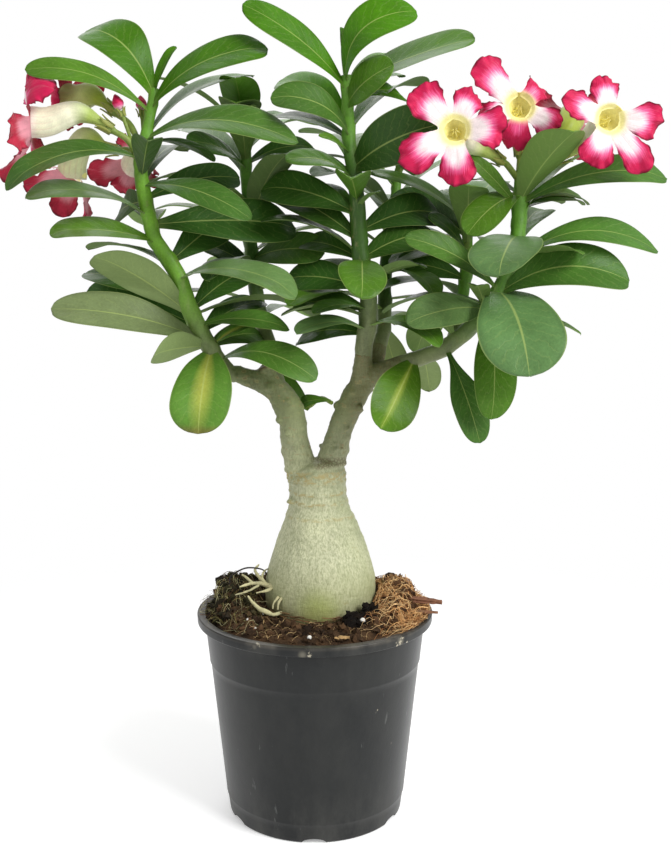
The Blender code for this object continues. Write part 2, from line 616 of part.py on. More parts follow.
def build_soil(material, collection):
    """Rings of points up the pot's wall, over the surface and down the caudex's hole."""
    floor = POT_FLOOR + GAP
    inner = pot_wall_radius(floor) - POT_WALL - GAP
    middle = pot_wall_radius(POT_MIDDLE) - POT_WALL - GAP
    top = POT_WALL_RADIUS - POT_WALL - GAP - POT_SHOULDER[0]
    rings = [(inner, lambda x, y: floor), (middle, lambda x, y: POT_MIDDLE), (top, soil_edge_height)]
    rings += [(radius, soil_height) for radius in SOIL_RINGS]
    rings += [(HOLE_RADIUS, soil_height), (HOLE_RADIUS, lambda x, y: HOLE_STRAIGHT_TO)]
    for height, _, radius in reversed(CAUDEX):
        if height < HOLE_STRAIGHT_TO:
            rings.append((radius + HOLE_CLEARANCE, lambda x, y, level=height: level))
    shape = bmesh.new()
    loops = []
    for number, (radius, height_at) in enumerate(rings):
        centre = CAUDEX[0][1] * min(1, max(0, (number - 2) / len(SOIL_RINGS)))
        loop = []
        for k in range(POT_SIDES):
            angle = 2 * math.pi * k / POT_SIDES
            x = centre + radius * math.cos(angle)
            y = radius * math.sin(angle)
            loop.append(shape.verts.new((x * MM, y * MM, height_at(x, y) * MM)))
        loops.append(loop)
    for low, high in zip(loops, loops[1:]):
        for k in range(POT_SIDES):
            after = (k + 1) % POT_SIDES
            shape.faces.new((low[k], low[after], high[after], high[k]))
    underside = shape.verts.new((0, 0, floor * MM))
    bottom = shape.verts.new((CAUDEX[0][1] * MM, 0, (CAUDEX[0][0] - GAP) * MM))
    for k in range(POT_SIDES):
        after = (k + 1) % POT_SIDES
        shape.faces.new((underside, loops[0][after], loops[0][k]))
        shape.faces.new((bottom, loops[-1][k], loops[-1][after]))
    bmesh.ops.recalc_face_normals(shape, faces=shape.faces)
    bmesh.ops.triangulate(shape, faces=shape.faces)
    return add_object("soil", mesh_of(shape, "soil"), material, collection)


def build_bark_chip(soil_tree, material, collection):
    """A split chip that rests on the rim and the soil's highest point under it."""
    start_x, y = CHIP_START
    lows = [POT_HEIGHT]
    for across in (-0.5, 0, 0.5):
        for x in range(start_x, int(POT_WALL_RADIUS)):
            above = Vector((x, y + across * CHIP_WIDTH, 2 * POT_HEIGHT))
            below = soil_tree.ray_cast(above, Vector((0, 0, -1)))[0]
            if below:
                lows.append(below.z)
    shape = bmesh.new()
    bmesh.ops.create_cube(shape, size=1)
    for vertex in shape.verts:
        along = vertex.co.x + 0.5
        x = start_x + (CHIP_END[0] - start_x) * along
        across = vertex.co.y * CHIP_WIDTH * (1 - CHIP_NARROWING * along)
        z = max(lows) + GAP + (vertex.co.z + 0.5) * CHIP_HEIGHT
        vertex.co = (x * MM, (y + across) * MM, z * MM)
    chip = add_object("bark_chip", mesh_of(shape, "bark_chip"), material, collection, smooth_angle=20)
    bevel = chip.modifiers.new("worn", "BEVEL")
    bevel.width = CHIP_WORN_EDGE * MM
    bevel.segments = 1
    return chip


# Trunk

def caudex_mesh():
    mesh = tube_mesh("caudex", [(x, 0, z, radius) for z, x, radius in CAUDEX], 20, roundness=6)
    for vertex in mesh.vertices:
        height = vertex.co.z / MM
        share = min(1, max(0, (height - CAUDEX_SHAPE_FROM) / CAUDEX_SHAPE_RISE))
        swell = noise.noise(vertex.co / (CAUDEX_SWELL_SIZE * MM)) * CAUDEX_UNEVEN * share
        outward = Vector((vertex.co.x, vertex.co.y, 0)).normalized()
        vertex.co += outward * swell * MM
    return mesh


def root_meshes():
    """The pale roots that lie on the soil, as tubes."""
    meshes = []
    for path in SURFACE_ROOTS:
        stations = []
        for x, y, z in path:
            lowest = soil_height(x, y) + SURFACE_ROOT_RADIUS + SURFACE_ROOT_LIFT
            stations.append((x, y, max(z, lowest), SURFACE_ROOT_RADIUS))
        meshes.append(tube_mesh("surface_root", stations, 9, roundness=1))
    return meshes


def knob_meshes():
    """Stubs of old leaf scars on the branches and the neck."""
    meshes = []
    for x, y, z, radius in BRANCH_KNOBS:
        shape = bmesh.new()
        place = Matrix.Translation((x * MM, y * MM, z * MM))
        bmesh.ops.create_icosphere(shape, subdivisions=1, radius=radius * MM, matrix=place)
        meshes.append(mesh_of(shape, "knob"))
    return meshes


def build_trunk(material, collection):
    meshes = [caudex_mesh()]
    meshes.append(tube_mesh("left_branch", LEFT_BRANCH, 14, roundness=3))
    meshes.append(tube_mesh("right_branch", RIGHT_BRANCH, 14, roundness=3))
    for limb in (LEFT_BACK_LIMB, LEFT_STUB, CENTRE_LIMB, CENTRE_BACK_LIMB):
        meshes.append(tube_mesh("limb", limb, 14, roundness=2))
    meshes += root_meshes() + knob_meshes()
    return add_object("caudex_trunk", fused("caudex_trunk", meshes), material, collection)


# Leaves

def leaf_outline(u, sharpness):
    """Share of the full width at u along the leaf: a narrow foot, broadest past the middle, a round tip."""
    if u < LEAF_BROADEST:
        return LEAF_STALK + (1 - LEAF_STALK) * math.sin(math.pi / 2 * u / LEAF_BROADEST) ** sharpness
    beyond = (u - LEAF_BROADEST) / (1 - LEAF_BROADEST)
    return LEAF_TIP + (1 - LEAF_TIP) * math.sqrt(max(0, 1 - beyond * beyond))


def lay_leaf(number, foot, tip, width, face, arch, fold):
    """A leaf's own axes and bends. Its twist and wave follow from its number."""
    axis = tip - foot
    chord = axis.normalized()
    up = Vector(face) - chord * chord.dot(Vector(face))
    up.normalize()
    most, loss, least = LEAF_SHARPNESS
    return {
        "foot": foot, "length": axis.length, "chord": chord, "up": up, "side": chord.cross(up),
        "half": width / 2, "arch": arch, "fold": math.radians(fold), "phase": 1.7 * number,
        "twist": math.radians(LEAF_TWIST) * math.sin(2.4 * number),
        "sharpness": max(least, most - loss * width / axis.length),
    }


def leaf_point(leaf, u, v):
    """Middle surface of the blade at u from foot to tip and v from edge to edge (-1 to 1), and its normal."""
    slope = leaf["arch"] * 4 * (1 - 2 * u)
    tangent = (leaf["chord"] + leaf["up"] * slope).normalized()
    turn = Matrix.Rotation(leaf["twist"] * u, 3, tangent)
    across = turn @ leaf["side"]
    normal = turn @ leaf["side"].cross(tangent)
    half = leaf["half"] * leaf_outline(u, leaf["sharpness"])
    phase = LEAF_WAVES * u + leaf["phase"] + (2 if v > 0 else 0)
    wave = LEAF_WAVE * leaf["length"] * math.sin(phase) * v * v * u
    middle = leaf["foot"] + leaf["chord"] * leaf["length"] * u
    middle += leaf["up"] * leaf["arch"] * leaf["length"] * 4 * u * (1 - u)
    spread = across * (v * half * math.cos(leaf["fold"]))
    return middle + spread + normal * (abs(v) * half * math.sin(leaf["fold"]) + wave), normal


def blade_mesh(name, point_at, rows, columns, thickness):
    """A thin blade: an open surface of triangles from point_at(u, v), thickened evenly both ways."""
    shape = bmesh.new()
    grid = [[shape.verts.new(point_at(u, v)[0] * MM) for v in columns] for u in rows]
    for near, far in zip(grid, grid[1:]):
        for k in range(len(columns) - 1):
            shape.faces.new((near[k], near[k + 1], far[k + 1]))
            shape.faces.new((near[k], far[k + 1], far[k]))
    bmesh.ops.recalc_face_normals(shape, faces=shape.faces)
    sheet = bpy.data.objects.new(name, mesh_of(shape, name))
    bpy.context.scene.collection.objects.link(sheet)
    solid = sheet.modifiers.new("thickness", "SOLIDIFY")
    solid.thickness = thickness * MM
    solid.offset = 0
    return evaluated_mesh(sheet)


def slab_tree(leaf, start):
    """Search tree of a leaf, thicker than it is, from `start` along it to its tip."""
    rows = [start + (1 - start) * u for u in LEAF_ROWS]
    points = []
    for u in rows:
        for v in LEAF_COLUMNS:
            point, normal = leaf_point(leaf, u, v)
            points.append(point + normal * LEAF_CLEARANCE)
            points.append(point - normal * LEAF_CLEARANCE)
    across = len(LEAF_COLUMNS)
    faces = []
    for i in range(len(rows) - 1):
        for k in range(across - 1):
            for side in (0, 1):
                near = 2 * (i * across + k) + side
                far = near + 2 * across
                faces += [(near, near + 2, far + 2), (near, far + 2, far)]
        for k in (0, across - 1):
            near = 2 * (i * across + k)
            far = near + 2 * across
            faces += [(near, near + 1, far + 1), (near, far + 1, far)]
    return BVHTree.FromPolygons(points, faces)


def has_room(leaf, shoot, placed, solids):
    """Whether the leaf clears what is there: all of it beside another shoot, its outer part on its own."""
    outer = slab_tree(leaf, LEAF_OUTER_FROM)
    whole = slab_tree(leaf, 0)
    for owner, tree in solids:
        if (outer if owner == shoot else whole).overlap(tree):
            return False
    for owner, other_outer, other_whole in placed:
        if owner == shoot:
            if outer.overlap(other_outer):
                return False
        elif whole.overlap(other_whole):
            return False
    return True


def place_leaf(number, shoot, foot, tip, width, face, arch, fold, placed, solids):
    """The leaf as given, or swung and lifted by the least angle that finds it room. None if nothing does."""
    turns = sorted(((a, b) for a in SWINGS for b in SWINGS), key=lambda pair: abs(pair[0]) + abs(pair[1]))
    reach = tip - foot
    level = Vector((reach.y, -reach.x, 0)).normalized()
    for swing, lift in turns:
        turn = Matrix.Rotation(math.radians(swing), 3, "Z") @ Matrix.Rotation(math.radians(lift), 3, level)
        leaf = lay_leaf(number, foot, foot + turn @ reach, width, face, arch, fold)
        if has_room(leaf, shoot, placed, solids):
            placed.append((shoot, slab_tree(leaf, LEAF_OUTER_FROM), slab_tree(leaf, 0)))
            return leaf
    return None


def stem_point(stations, height):
    """The point of a stem's axis at a height."""
    for (x0, y0, z0, _), (x1, y1, z1, _) in zip(stations, stations[1:]):
        if z0 <= height <= z1:
            share = (height - z0) / (z1 - z0)
            return Vector((x0 + (x1 - x0) * share, y0 + (y1 - y0) * share, height))
    return Vector(stations[-1][:3])


def all_leaves(solids):
    """Every leaf of every shoot: those that the front view shows first, then those of the far side."""
    found = {shoot: [] for shoot in SHOOTS}
    placed = []
    number = 0
    for (shoot, stem), rows in LEAVES.items():
        stations = SHOOTS[shoot][stem]
        for height, tip, width, face, arch, fold in rows:
            number += 1
            foot = stem_point(stations, height)
            leaf = place_leaf(number, shoot, foot, Vector(tip), width, face, arch, fold, placed, solids)
            if leaf:
                found[shoot].append((leaf, LEAF_COLUMNS))
    for (shoot, stem), (low, high, count, heading, sweep) in FAR_LEAVES.items():
        stations = SHOOTS[shoot][stem]
        for k in range(count):
            number += 1
            share = (k + 0.5) / count
            foot = stem_point(stations, low + (high - low) * share)
            angle = math.radians((heading + k * GOLDEN_ANGLE) % sweep)
            lift = math.radians(FAR_LIFT_LOW + (FAR_LIFT_HIGH - FAR_LIFT_LOW) * share)
            level = math.cos(lift)
            away = Vector((math.cos(angle) * level, math.sin(angle) * level, math.sin(lift)))
            tip = foot + away * FAR_LENGTHS[number % len(FAR_LENGTHS)]
            width = FAR_WIDTHS[number % len(FAR_WIDTHS)]
            leaf = place_leaf(number, shoot, foot, tip, width, UP, FAR_ARCH, FAR_FOLD, placed, solids)
            if leaf:
                found[shoot].append((leaf, FAR_COLUMNS))
    return found


# Blooms

def bloom_frame(bloom):
    """Axes of a bloom: the way it faces, then right and up as its viewer sees it."""
    facing = Vector(bloom["facing"]).normalized()
    right = Vector(UP).cross(facing).normalized()
    return facing, right, facing.cross(right)


def petal_point(bloom, petal, u, v):
    """Middle surface of a petal at u from the throat to the tip and v from edge to edge (-1 to 1).
    The midline bends evenly from the throat's flare to the lean of the tip, and the petal turns a little."""
    facing, right, over = bloom_frame(bloom)
    heading, length, width, lean = petal
    outward = right * math.cos(math.radians(heading)) + over * math.sin(math.radians(heading))
    start = math.radians(PETAL_START_LEAN)
    turn = math.radians(lean) - start
    now = start + turn * u
    inside, behind = PETAL_INSET
    out = THROAT_RADIUS - inside + length * (math.sin(now) - math.sin(start)) / turn
    ahead = length * (math.cos(start) - math.cos(now)) / turn - behind
    tangent = outward * math.cos(now) + facing * math.sin(now)
    across = Matrix.Rotation(math.radians(PETAL_TWIST) * u, 3, tangent) @ facing.cross(outward)
    normal = tangent.cross(across)
    half = width / 2 * petal_outline(u, PETAL_FOOT / (width / 2))
    cup = -PETAL_CUP * half * v * v
    middle = Vector(bloom["throat"]) + outward * out + facing * ahead
    return middle + across * (v * half) + normal * cup, normal


def petal_outline(u, foot):
    """Share of the full width at u along a petal: broadest past the middle, with a broad round end."""
    if u < PETAL_BROADEST:
        return foot + (1 - foot) * math.sin(math.pi / 2 * u / PETAL_BROADEST) ** PETAL_SHARPNESS
    beyond = (u - PETAL_BROADEST) / (1 - PETAL_BROADEST)
    return PETAL_TIP + (1 - PETAL_TIP) * math.sqrt(max(0, 1 - beyond * beyond))


def funnel_stations(bloom):
    """The corolla's tube from the calyx to the throat, bending to face the way the bloom does."""
    facing = bloom_frame(bloom)[0]
    throat = Vector(bloom["throat"])
    before, calyx = Vector(bloom["stalk"][-2]), Vector(bloom["stalk"][-1])
    leaving = (calyx - before).normalized()
    start = calyx + leaving * GAP
    foot_radius, foot_length = FUNNEL_FOOT
    bend = start + leaving * foot_length
    span = (throat - bend).length
    stations = [(*start, foot_radius), (*bend, foot_radius + FUNNEL_WIDENING)]
    for share, turned, radius in FUNNEL_BENDS:
        along = bend + leaving * span * share
        back = throat - facing * span * (1 - share)
        stations.append((*along.lerp(back, turned), radius))
    return stations + [(*throat, THROAT_RADIUS)]


def hollow_throat(mesh, bloom):
    """Makes the funnel's front cap one face and pushes its middle back, so that the throat is a cone."""
    facing = bloom_frame(bloom)[0]
    throat = Vector(bloom["throat"]) * MM
    shape = bmesh.new()
    shape.from_mesh(mesh)

    def on_rim(vertex):
        from_throat = vertex.co - throat
        return from_throat.length < 1.02 * THROAT_RADIUS * MM and abs(from_throat.dot(facing)) < 2.5 * MM

    front = [face for face in shape.faces if all(on_rim(vertex) for vertex in face.verts)]
    cap = bmesh.ops.dissolve_faces(shape, faces=front)["region"] if len(front) > 1 else front
    centre = bmesh.ops.poke(shape, faces=cap)["verts"][0]
    centre.co -= facing * THROAT_DEPTH * MM
    bpy.data.meshes.remove(mesh)
    return mesh_of(shape, "funnel")


def bloom_mesh(name, bloom):
    funnel = hollow_throat(tube_mesh("funnel", funnel_stations(bloom), 60, roundness=2), bloom)
    petals = []
    for petal in bloom["petals"]:
        def at(u, v, petal=petal):
            return petal_point(bloom, petal, u, v)
        petals.append(blade_mesh("petal", at, PETAL_ROWS, PETAL_COLUMNS, PETAL_THICKNESS))
    return fused(name, [funnel, *petals])


def stalk_mesh(bloom):
    """Flower stalk with its calyx, which belong to the green shoot."""
    points = [Vector(point) for point in bloom["stalk"]]
    leaving = (points[-1] - points[-2]).normalized()
    stations = [(*point, STALK_RADIUS) for point in points[:-1]]
    stations += [(*(points[-1] - leaving * CALYX_LENGTH), STALK_RADIUS), (*points[-1], CALYX_RADIUS)]
    return tube_mesh("stalk", stations, 10, roundness=1)


def build_bud(name, path, material, collection):
    """A closed bud: a slim ellipsoid at the end of its stalk."""
    before, end = Vector(path[-2]), Vector(path[-1])
    way = (end - before).normalized()
    middle = end + way * (BUD_LENGTH / 2 + GAP)
    shape = bmesh.new()
    bmesh.ops.create_uvsphere(shape, u_segments=6, v_segments=5, radius=MM)
    place = Matrix.Translation(middle * MM) @ way.to_track_quat("Z", "Y").to_matrix().to_4x4()
    bmesh.ops.transform(shape, matrix=place @ Matrix.Diagonal((BUD_RADIUS, BUD_RADIUS, BUD_LENGTH / 2, 1)),
                        verts=shape.verts)
    return add_object(name, mesh_of(shape, name), material, collection)


def leaf_mesh(leaf, columns):
    rows = LEAF_ROWS if 2 * leaf["half"] >= BROAD_FROM else SLIM_ROWS
    return blade_mesh("leaf", lambda u, v: leaf_point(leaf, u, v), rows, columns, LEAF_THICKNESS)


def build_low_leaf(material, collection):
    foot, tip, *rest = LOW_LEAF
    blade = leaf_mesh(lay_leaf(0, Vector(foot), Vector(tip), *rest), LEAF_COLUMNS)
    stalk = tube_mesh("low_leaf_stalk", LOW_LEAF_STALK, 6, roundness=1)
    return add_object("leaf_low", fused("leaf_low", [stalk, blade]), material, collection)


def build_plant(collection):
    """Trunk, blooms and shoots. Leaves are placed last, round everything else."""
    bark = new_material("bark", (0.42, 0.45, 0.30), 0.75)
    green = new_material("leaf_green", (0.09, 0.24, 0.04), 0.45)
    petal = new_material("petal_pink", (0.80, 0.10, 0.25), 0.5)
    trunk = build_trunk(bark, collection)
    low_leaf = build_low_leaf(green, collection)
    shoots = {}
    solids = [("caudex_trunk", tree_of(trunk.data)), ("leaf_low", tree_of(low_leaf.data))]
    for shoot, stems in SHOOTS.items():
        shoots[shoot] = [tube_mesh("stem", stations, SHOOT_STEP, SHOOT_ROUNDNESS) for stations in stems]
    for name, bloom in BLOOMS.items():
        flower = add_object(name, bloom_mesh(name, bloom), petal, collection)
        solids.append((name, tree_of(flower.data)))
        shoots[bloom["shoot"]].append(stalk_mesh(bloom))
    for name, path in BUDS.items():
        bud = build_bud(name, path, petal, collection)
        solids.append((name, tree_of(bud.data)))
        stalk = [(*point, BUD_STALK_RADIUS) for point in path]
        shoots[BUD_SHOOT].append(tube_mesh("bud_stalk", stalk, 8, roundness=1))
    for shoot, meshes in shoots.items():
        solids += [(shoot, tree_of(mesh)) for mesh in meshes]
    for shoot, leaves in all_leaves(solids).items():
        blades = [leaf_mesh(leaf, columns) for leaf, columns in leaves]
        add_object(shoot, fused(shoot, shoots[shoot] + blades), green, collection)


def main():
    clear_scene()
    collection = new_collection(OBJECT_NAME)
    cutters = new_collection("cutters")
    build_pot(new_material("pot_plastic", (0.035, 0.038, 0.04), 0.45), collection, cutters)
    soil = build_soil(new_material("potting_soil", (0.06, 0.035, 0.02), 0.95), collection)
    build_bark_chip(tree_of(soil.data), new_material("bark_chip", (0.25, 0.13, 0.06), 0.9), collection)
    build_plant(collection)


main()
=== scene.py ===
# Potted desert rose in a nursery pot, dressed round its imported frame.
# Lengths are in millimetres unless a note says otherwise, and mm turns them into Blender's metres.
# The plant's front looks along -Y and the pot stands on the origin.
import functools
import random
from math import copysign, cos, exp, hypot, pi, radians, sin, sqrt

import bmesh
import bpy
import numpy as np
from mathutils import Matrix, Vector, noise
from mathutils.bvhtree import BVHTree


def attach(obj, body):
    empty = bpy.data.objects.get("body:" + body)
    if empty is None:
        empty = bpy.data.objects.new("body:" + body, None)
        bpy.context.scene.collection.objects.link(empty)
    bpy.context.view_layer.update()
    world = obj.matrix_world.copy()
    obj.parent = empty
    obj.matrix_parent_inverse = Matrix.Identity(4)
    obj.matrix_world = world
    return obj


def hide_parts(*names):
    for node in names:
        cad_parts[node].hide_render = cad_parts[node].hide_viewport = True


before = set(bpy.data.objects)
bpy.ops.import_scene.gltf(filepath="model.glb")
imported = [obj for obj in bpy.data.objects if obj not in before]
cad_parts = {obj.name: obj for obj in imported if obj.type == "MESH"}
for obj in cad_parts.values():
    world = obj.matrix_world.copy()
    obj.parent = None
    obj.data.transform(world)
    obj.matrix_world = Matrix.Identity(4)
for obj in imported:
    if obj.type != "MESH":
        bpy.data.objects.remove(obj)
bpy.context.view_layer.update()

mm = 0.001
scene = bpy.context.scene


# small maths helpers

def vec(values):
    return np.array(values, float)


def unit(a):
    return a / np.maximum(np.linalg.norm(a, axis=-1, keepdims=True), 1e-9)


def smoothStep(low, high, x):
    t = np.clip((np.asarray(x, float) - low) / (high - low), 0, 1)
    return t * t * (3 - 2 * t)


def blend(first, second, share):
    return np.asarray(first) * (1 - share) + np.asarray(second) * share


def paint(*levels):
    # screen colour 0-255 to Blender's linear colour
    return tuple(c / 12.92 if c <= 0.04045 else ((c + 0.055) / 1.055) ** 2.4 for c in (level / 255 for level in levels))


def noiseAt(x, y, z):
    return noise.noise(Vector((x, y, z)))


def bumpAt(point, size, seed=0):
    return noiseAt(point[0] / size + seed, point[1] / size - seed, point[2] / size + 2 * seed)


def around(count):
    return 2 * pi * np.arange(count) / count


def gridOf(along, across):
    return np.stack(np.meshgrid(along, across, indexing="ij"), -1)


def curvePath(stations, step):
    # Catmull-Rom through stations of x, y, z and radius, about step apart
    rows = [vec(row) for row in stations]
    rows = [2 * rows[0] - rows[1], *rows, 2 * rows[-1] - rows[-2]]
    found = []
    for a, b, c, d in zip(rows, rows[1:], rows[2:], rows[3:]):
        count = max(1, round(float(np.linalg.norm(c[:3] - b[:3])) / step))
        for t in (k / count for k in range(count)):
            found.append(0.5 * (2 * b + (c - a) * t + (2 * a - 5 * b + 4 * c - d) * t * t
                                + (3 * b - a - 3 * c + d) * t ** 3))
    found.append(rows[-2])
    return np.array(found)


def ringAxes(centres):
    # two axes across the path at each point, carried along it without twist
    along = unit(np.gradient(centres, axis=0))
    across = [unit(np.cross(along[0], (0, 0, 1) if abs(along[0][2]) < 0.9 else (0, 1, 0)))]
    for direction in along[1:]:
        across.append(unit(across[-1] - direction * float(across[-1] @ direction)))
    across = np.array(across)
    return across, np.cross(along, across)


def ringsAlong(path, sides):
    # rings of points round a path
    across, over = ringAxes(path[:, :3])
    angle = around(sides)[None, :, None]
    return path[:, None, :3] + path[:, None, 3:4] * (np.cos(angle) * across[:, None] + np.sin(angle) * over[:, None])


def cellCorners(grid):
    return np.stack([grid[:-1, :-1], grid[:-1, 1:], grid[1:, 1:], grid[1:, :-1]], 2)


def placeThing(name, data):
    thing = bpy.data.objects.new(name, data)
    scene.collection.objects.link(thing)
    return thing


class Gathered:
    # collects grids of points into one mesh, with a map, a tint and a finish for each

    def __init__(self):
        self.points, self.faces, self.maps, self.tints, self.finishes = [], [], [], [], []

    def addTube(self, points, tint=(1, 1, 1), under=0, finish=0, surfaceMap=None, tips=(None, None)):
        # points is rows x sides x 3 in mm; each row is a closed ring
        rows, sides = points.shape[:2]
        index = np.arange(rows * sides).reshape(rows, sides)
        faces = cellCorners(np.hstack([index, index[:, :1]])).reshape(-1, 4)
        if surfaceMap is None:
            surfaceMap = gridOf(np.linspace(0, 1, rows), np.linspace(0, 1, sides + 1))
        flat = points.reshape(-1, 3)
        middle = flat.mean(0)
        a, b, c, d = (flat[faces[:, k]] - middle for k in range(4))
        outward = (np.einsum("ij,ij->i", a, np.cross(b, c)) + np.einsum("ij,ij->i", a, np.cross(c, d))).sum() > 0
        faces, maps, flat = faces.tolist(), cellCorners(surfaceMap).reshape(-1, 4, 2).tolist(), flat.tolist()
        tintGrid = np.broadcast_to(np.asarray(tint, float), (rows, sides, 3)).reshape(-1, 3)
        underGrid = np.broadcast_to(np.asarray(under, float), (rows, sides)).reshape(-1, 1)
        tints = np.hstack([tintGrid, underGrid]).tolist()
        # a fan closes each end
        for row, tip in ((0, tips[0]), (rows - 1, tips[1])):
            centre = len(flat)
            flat.append(list(points[row].mean(0) if tip is None else tip))
            tints.append(tints[row * sides])
            for k in range(sides):
                near, far = row * sides + k, row * sides + (k + 1) % sides
                faces.append([centre, far, near] if row == 0 else [centre, near, far])
                maps.append([surfaceMap[row, k].tolist()] * 3)
        if not outward:
            faces, maps = [face[::-1] for face in faces], [face[::-1] for face in maps]
        self.addFaces(flat, faces, maps, tints, finish)

    def addCurve(self, stations, step, sides, tint, finish=0):
        self.addTube(ringsAlong(curvePath(stations, step), sides), tint, 0, finish)

    def addFaces(self, points, faces, maps, tints, finish):
        self.faces += [[corner + len(self.points) for corner in face] for face in faces]
        self.points += points
        self.maps += [corner for face in maps for corner in face]
        self.tints += tints
        self.finishes += [finish] * len(faces)

    def addClod(self, ball, centre, size, seed, rough, tint=(1, 1, 1), stretch=(1, 1, 1)):
        # a lump: a ball of points pushed in and out by noise
        points, faces = ball
        turn = np.array(Matrix.Rotation(seed * 7.3, 3, Vector((sin(seed), cos(3 * seed), 0.4)).normalized()))
        grown = [p * (1 + rough * bumpAt(p, 0.8, seed) + 0.5 * rough * bumpAt(p, 0.33, seed + 5)) for p in points]
        placed = (np.array(grown) * np.array(stretch) * size) @ turn.T + np.array(centre)
        self.addFaces(placed.tolist(), faces, [[(0, 0)] * 3 for _ in faces], [[*tint, 0]] * len(points), 0)

    def build(self, name, materials, smoothAngle=60):
        mesh = bpy.data.meshes.new(name)
        mesh.from_pydata((np.array(self.points) * mm).tolist(), [], self.faces)
        mesh.uv_layers.new(name="growth").data.foreach_set("uv", np.array(self.maps, np.float32).ravel())
        colour = mesh.color_attributes.new("tint", "FLOAT_COLOR", "POINT")
        colour.data.foreach_set("color", np.array(self.tints, np.float32).ravel())
        for material in materials:
            mesh.materials.append(material)
        mesh.polygons.foreach_set("material_index", np.array(self.finishes, np.int32))
        mesh.validate()
        mesh.shade_smooth()
        mesh.set_sharp_from_angle(angle=radians(smoothAngle))
        return placeThing(name, mesh)


def settle(piece, slotName, *nodes):
    # rides on the frame's only body and stands for the CAD nodes
    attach(piece, "root")
    if nodes:
        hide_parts(*nodes)


def applied(piece):
    # the mesh with its modifiers worked in
    bpy.context.view_layer.update()
    mesh = bpy.data.meshes.new_from_object(piece.evaluated_get(bpy.context.evaluated_depsgraph_get()))
    bpy.data.objects.remove(piece)
    return mesh


def roundBall(subdivisions):
    shape = bmesh.new()
    bmesh.ops.create_icosphere(shape, subdivisions=subdivisions, radius=1)
    points = [np.array(vertex.co) for vertex in shape.verts]
    faces = [[vertex.index for vertex in face.verts] for face in shape.faces]
    shape.free()
    return points, faces


def pieceName(node):
    # shoot_left_back is dressed by shootLeftBack
    first, *rest = node.split("_")
    return first + "".join(word.capitalize() for word in rest)


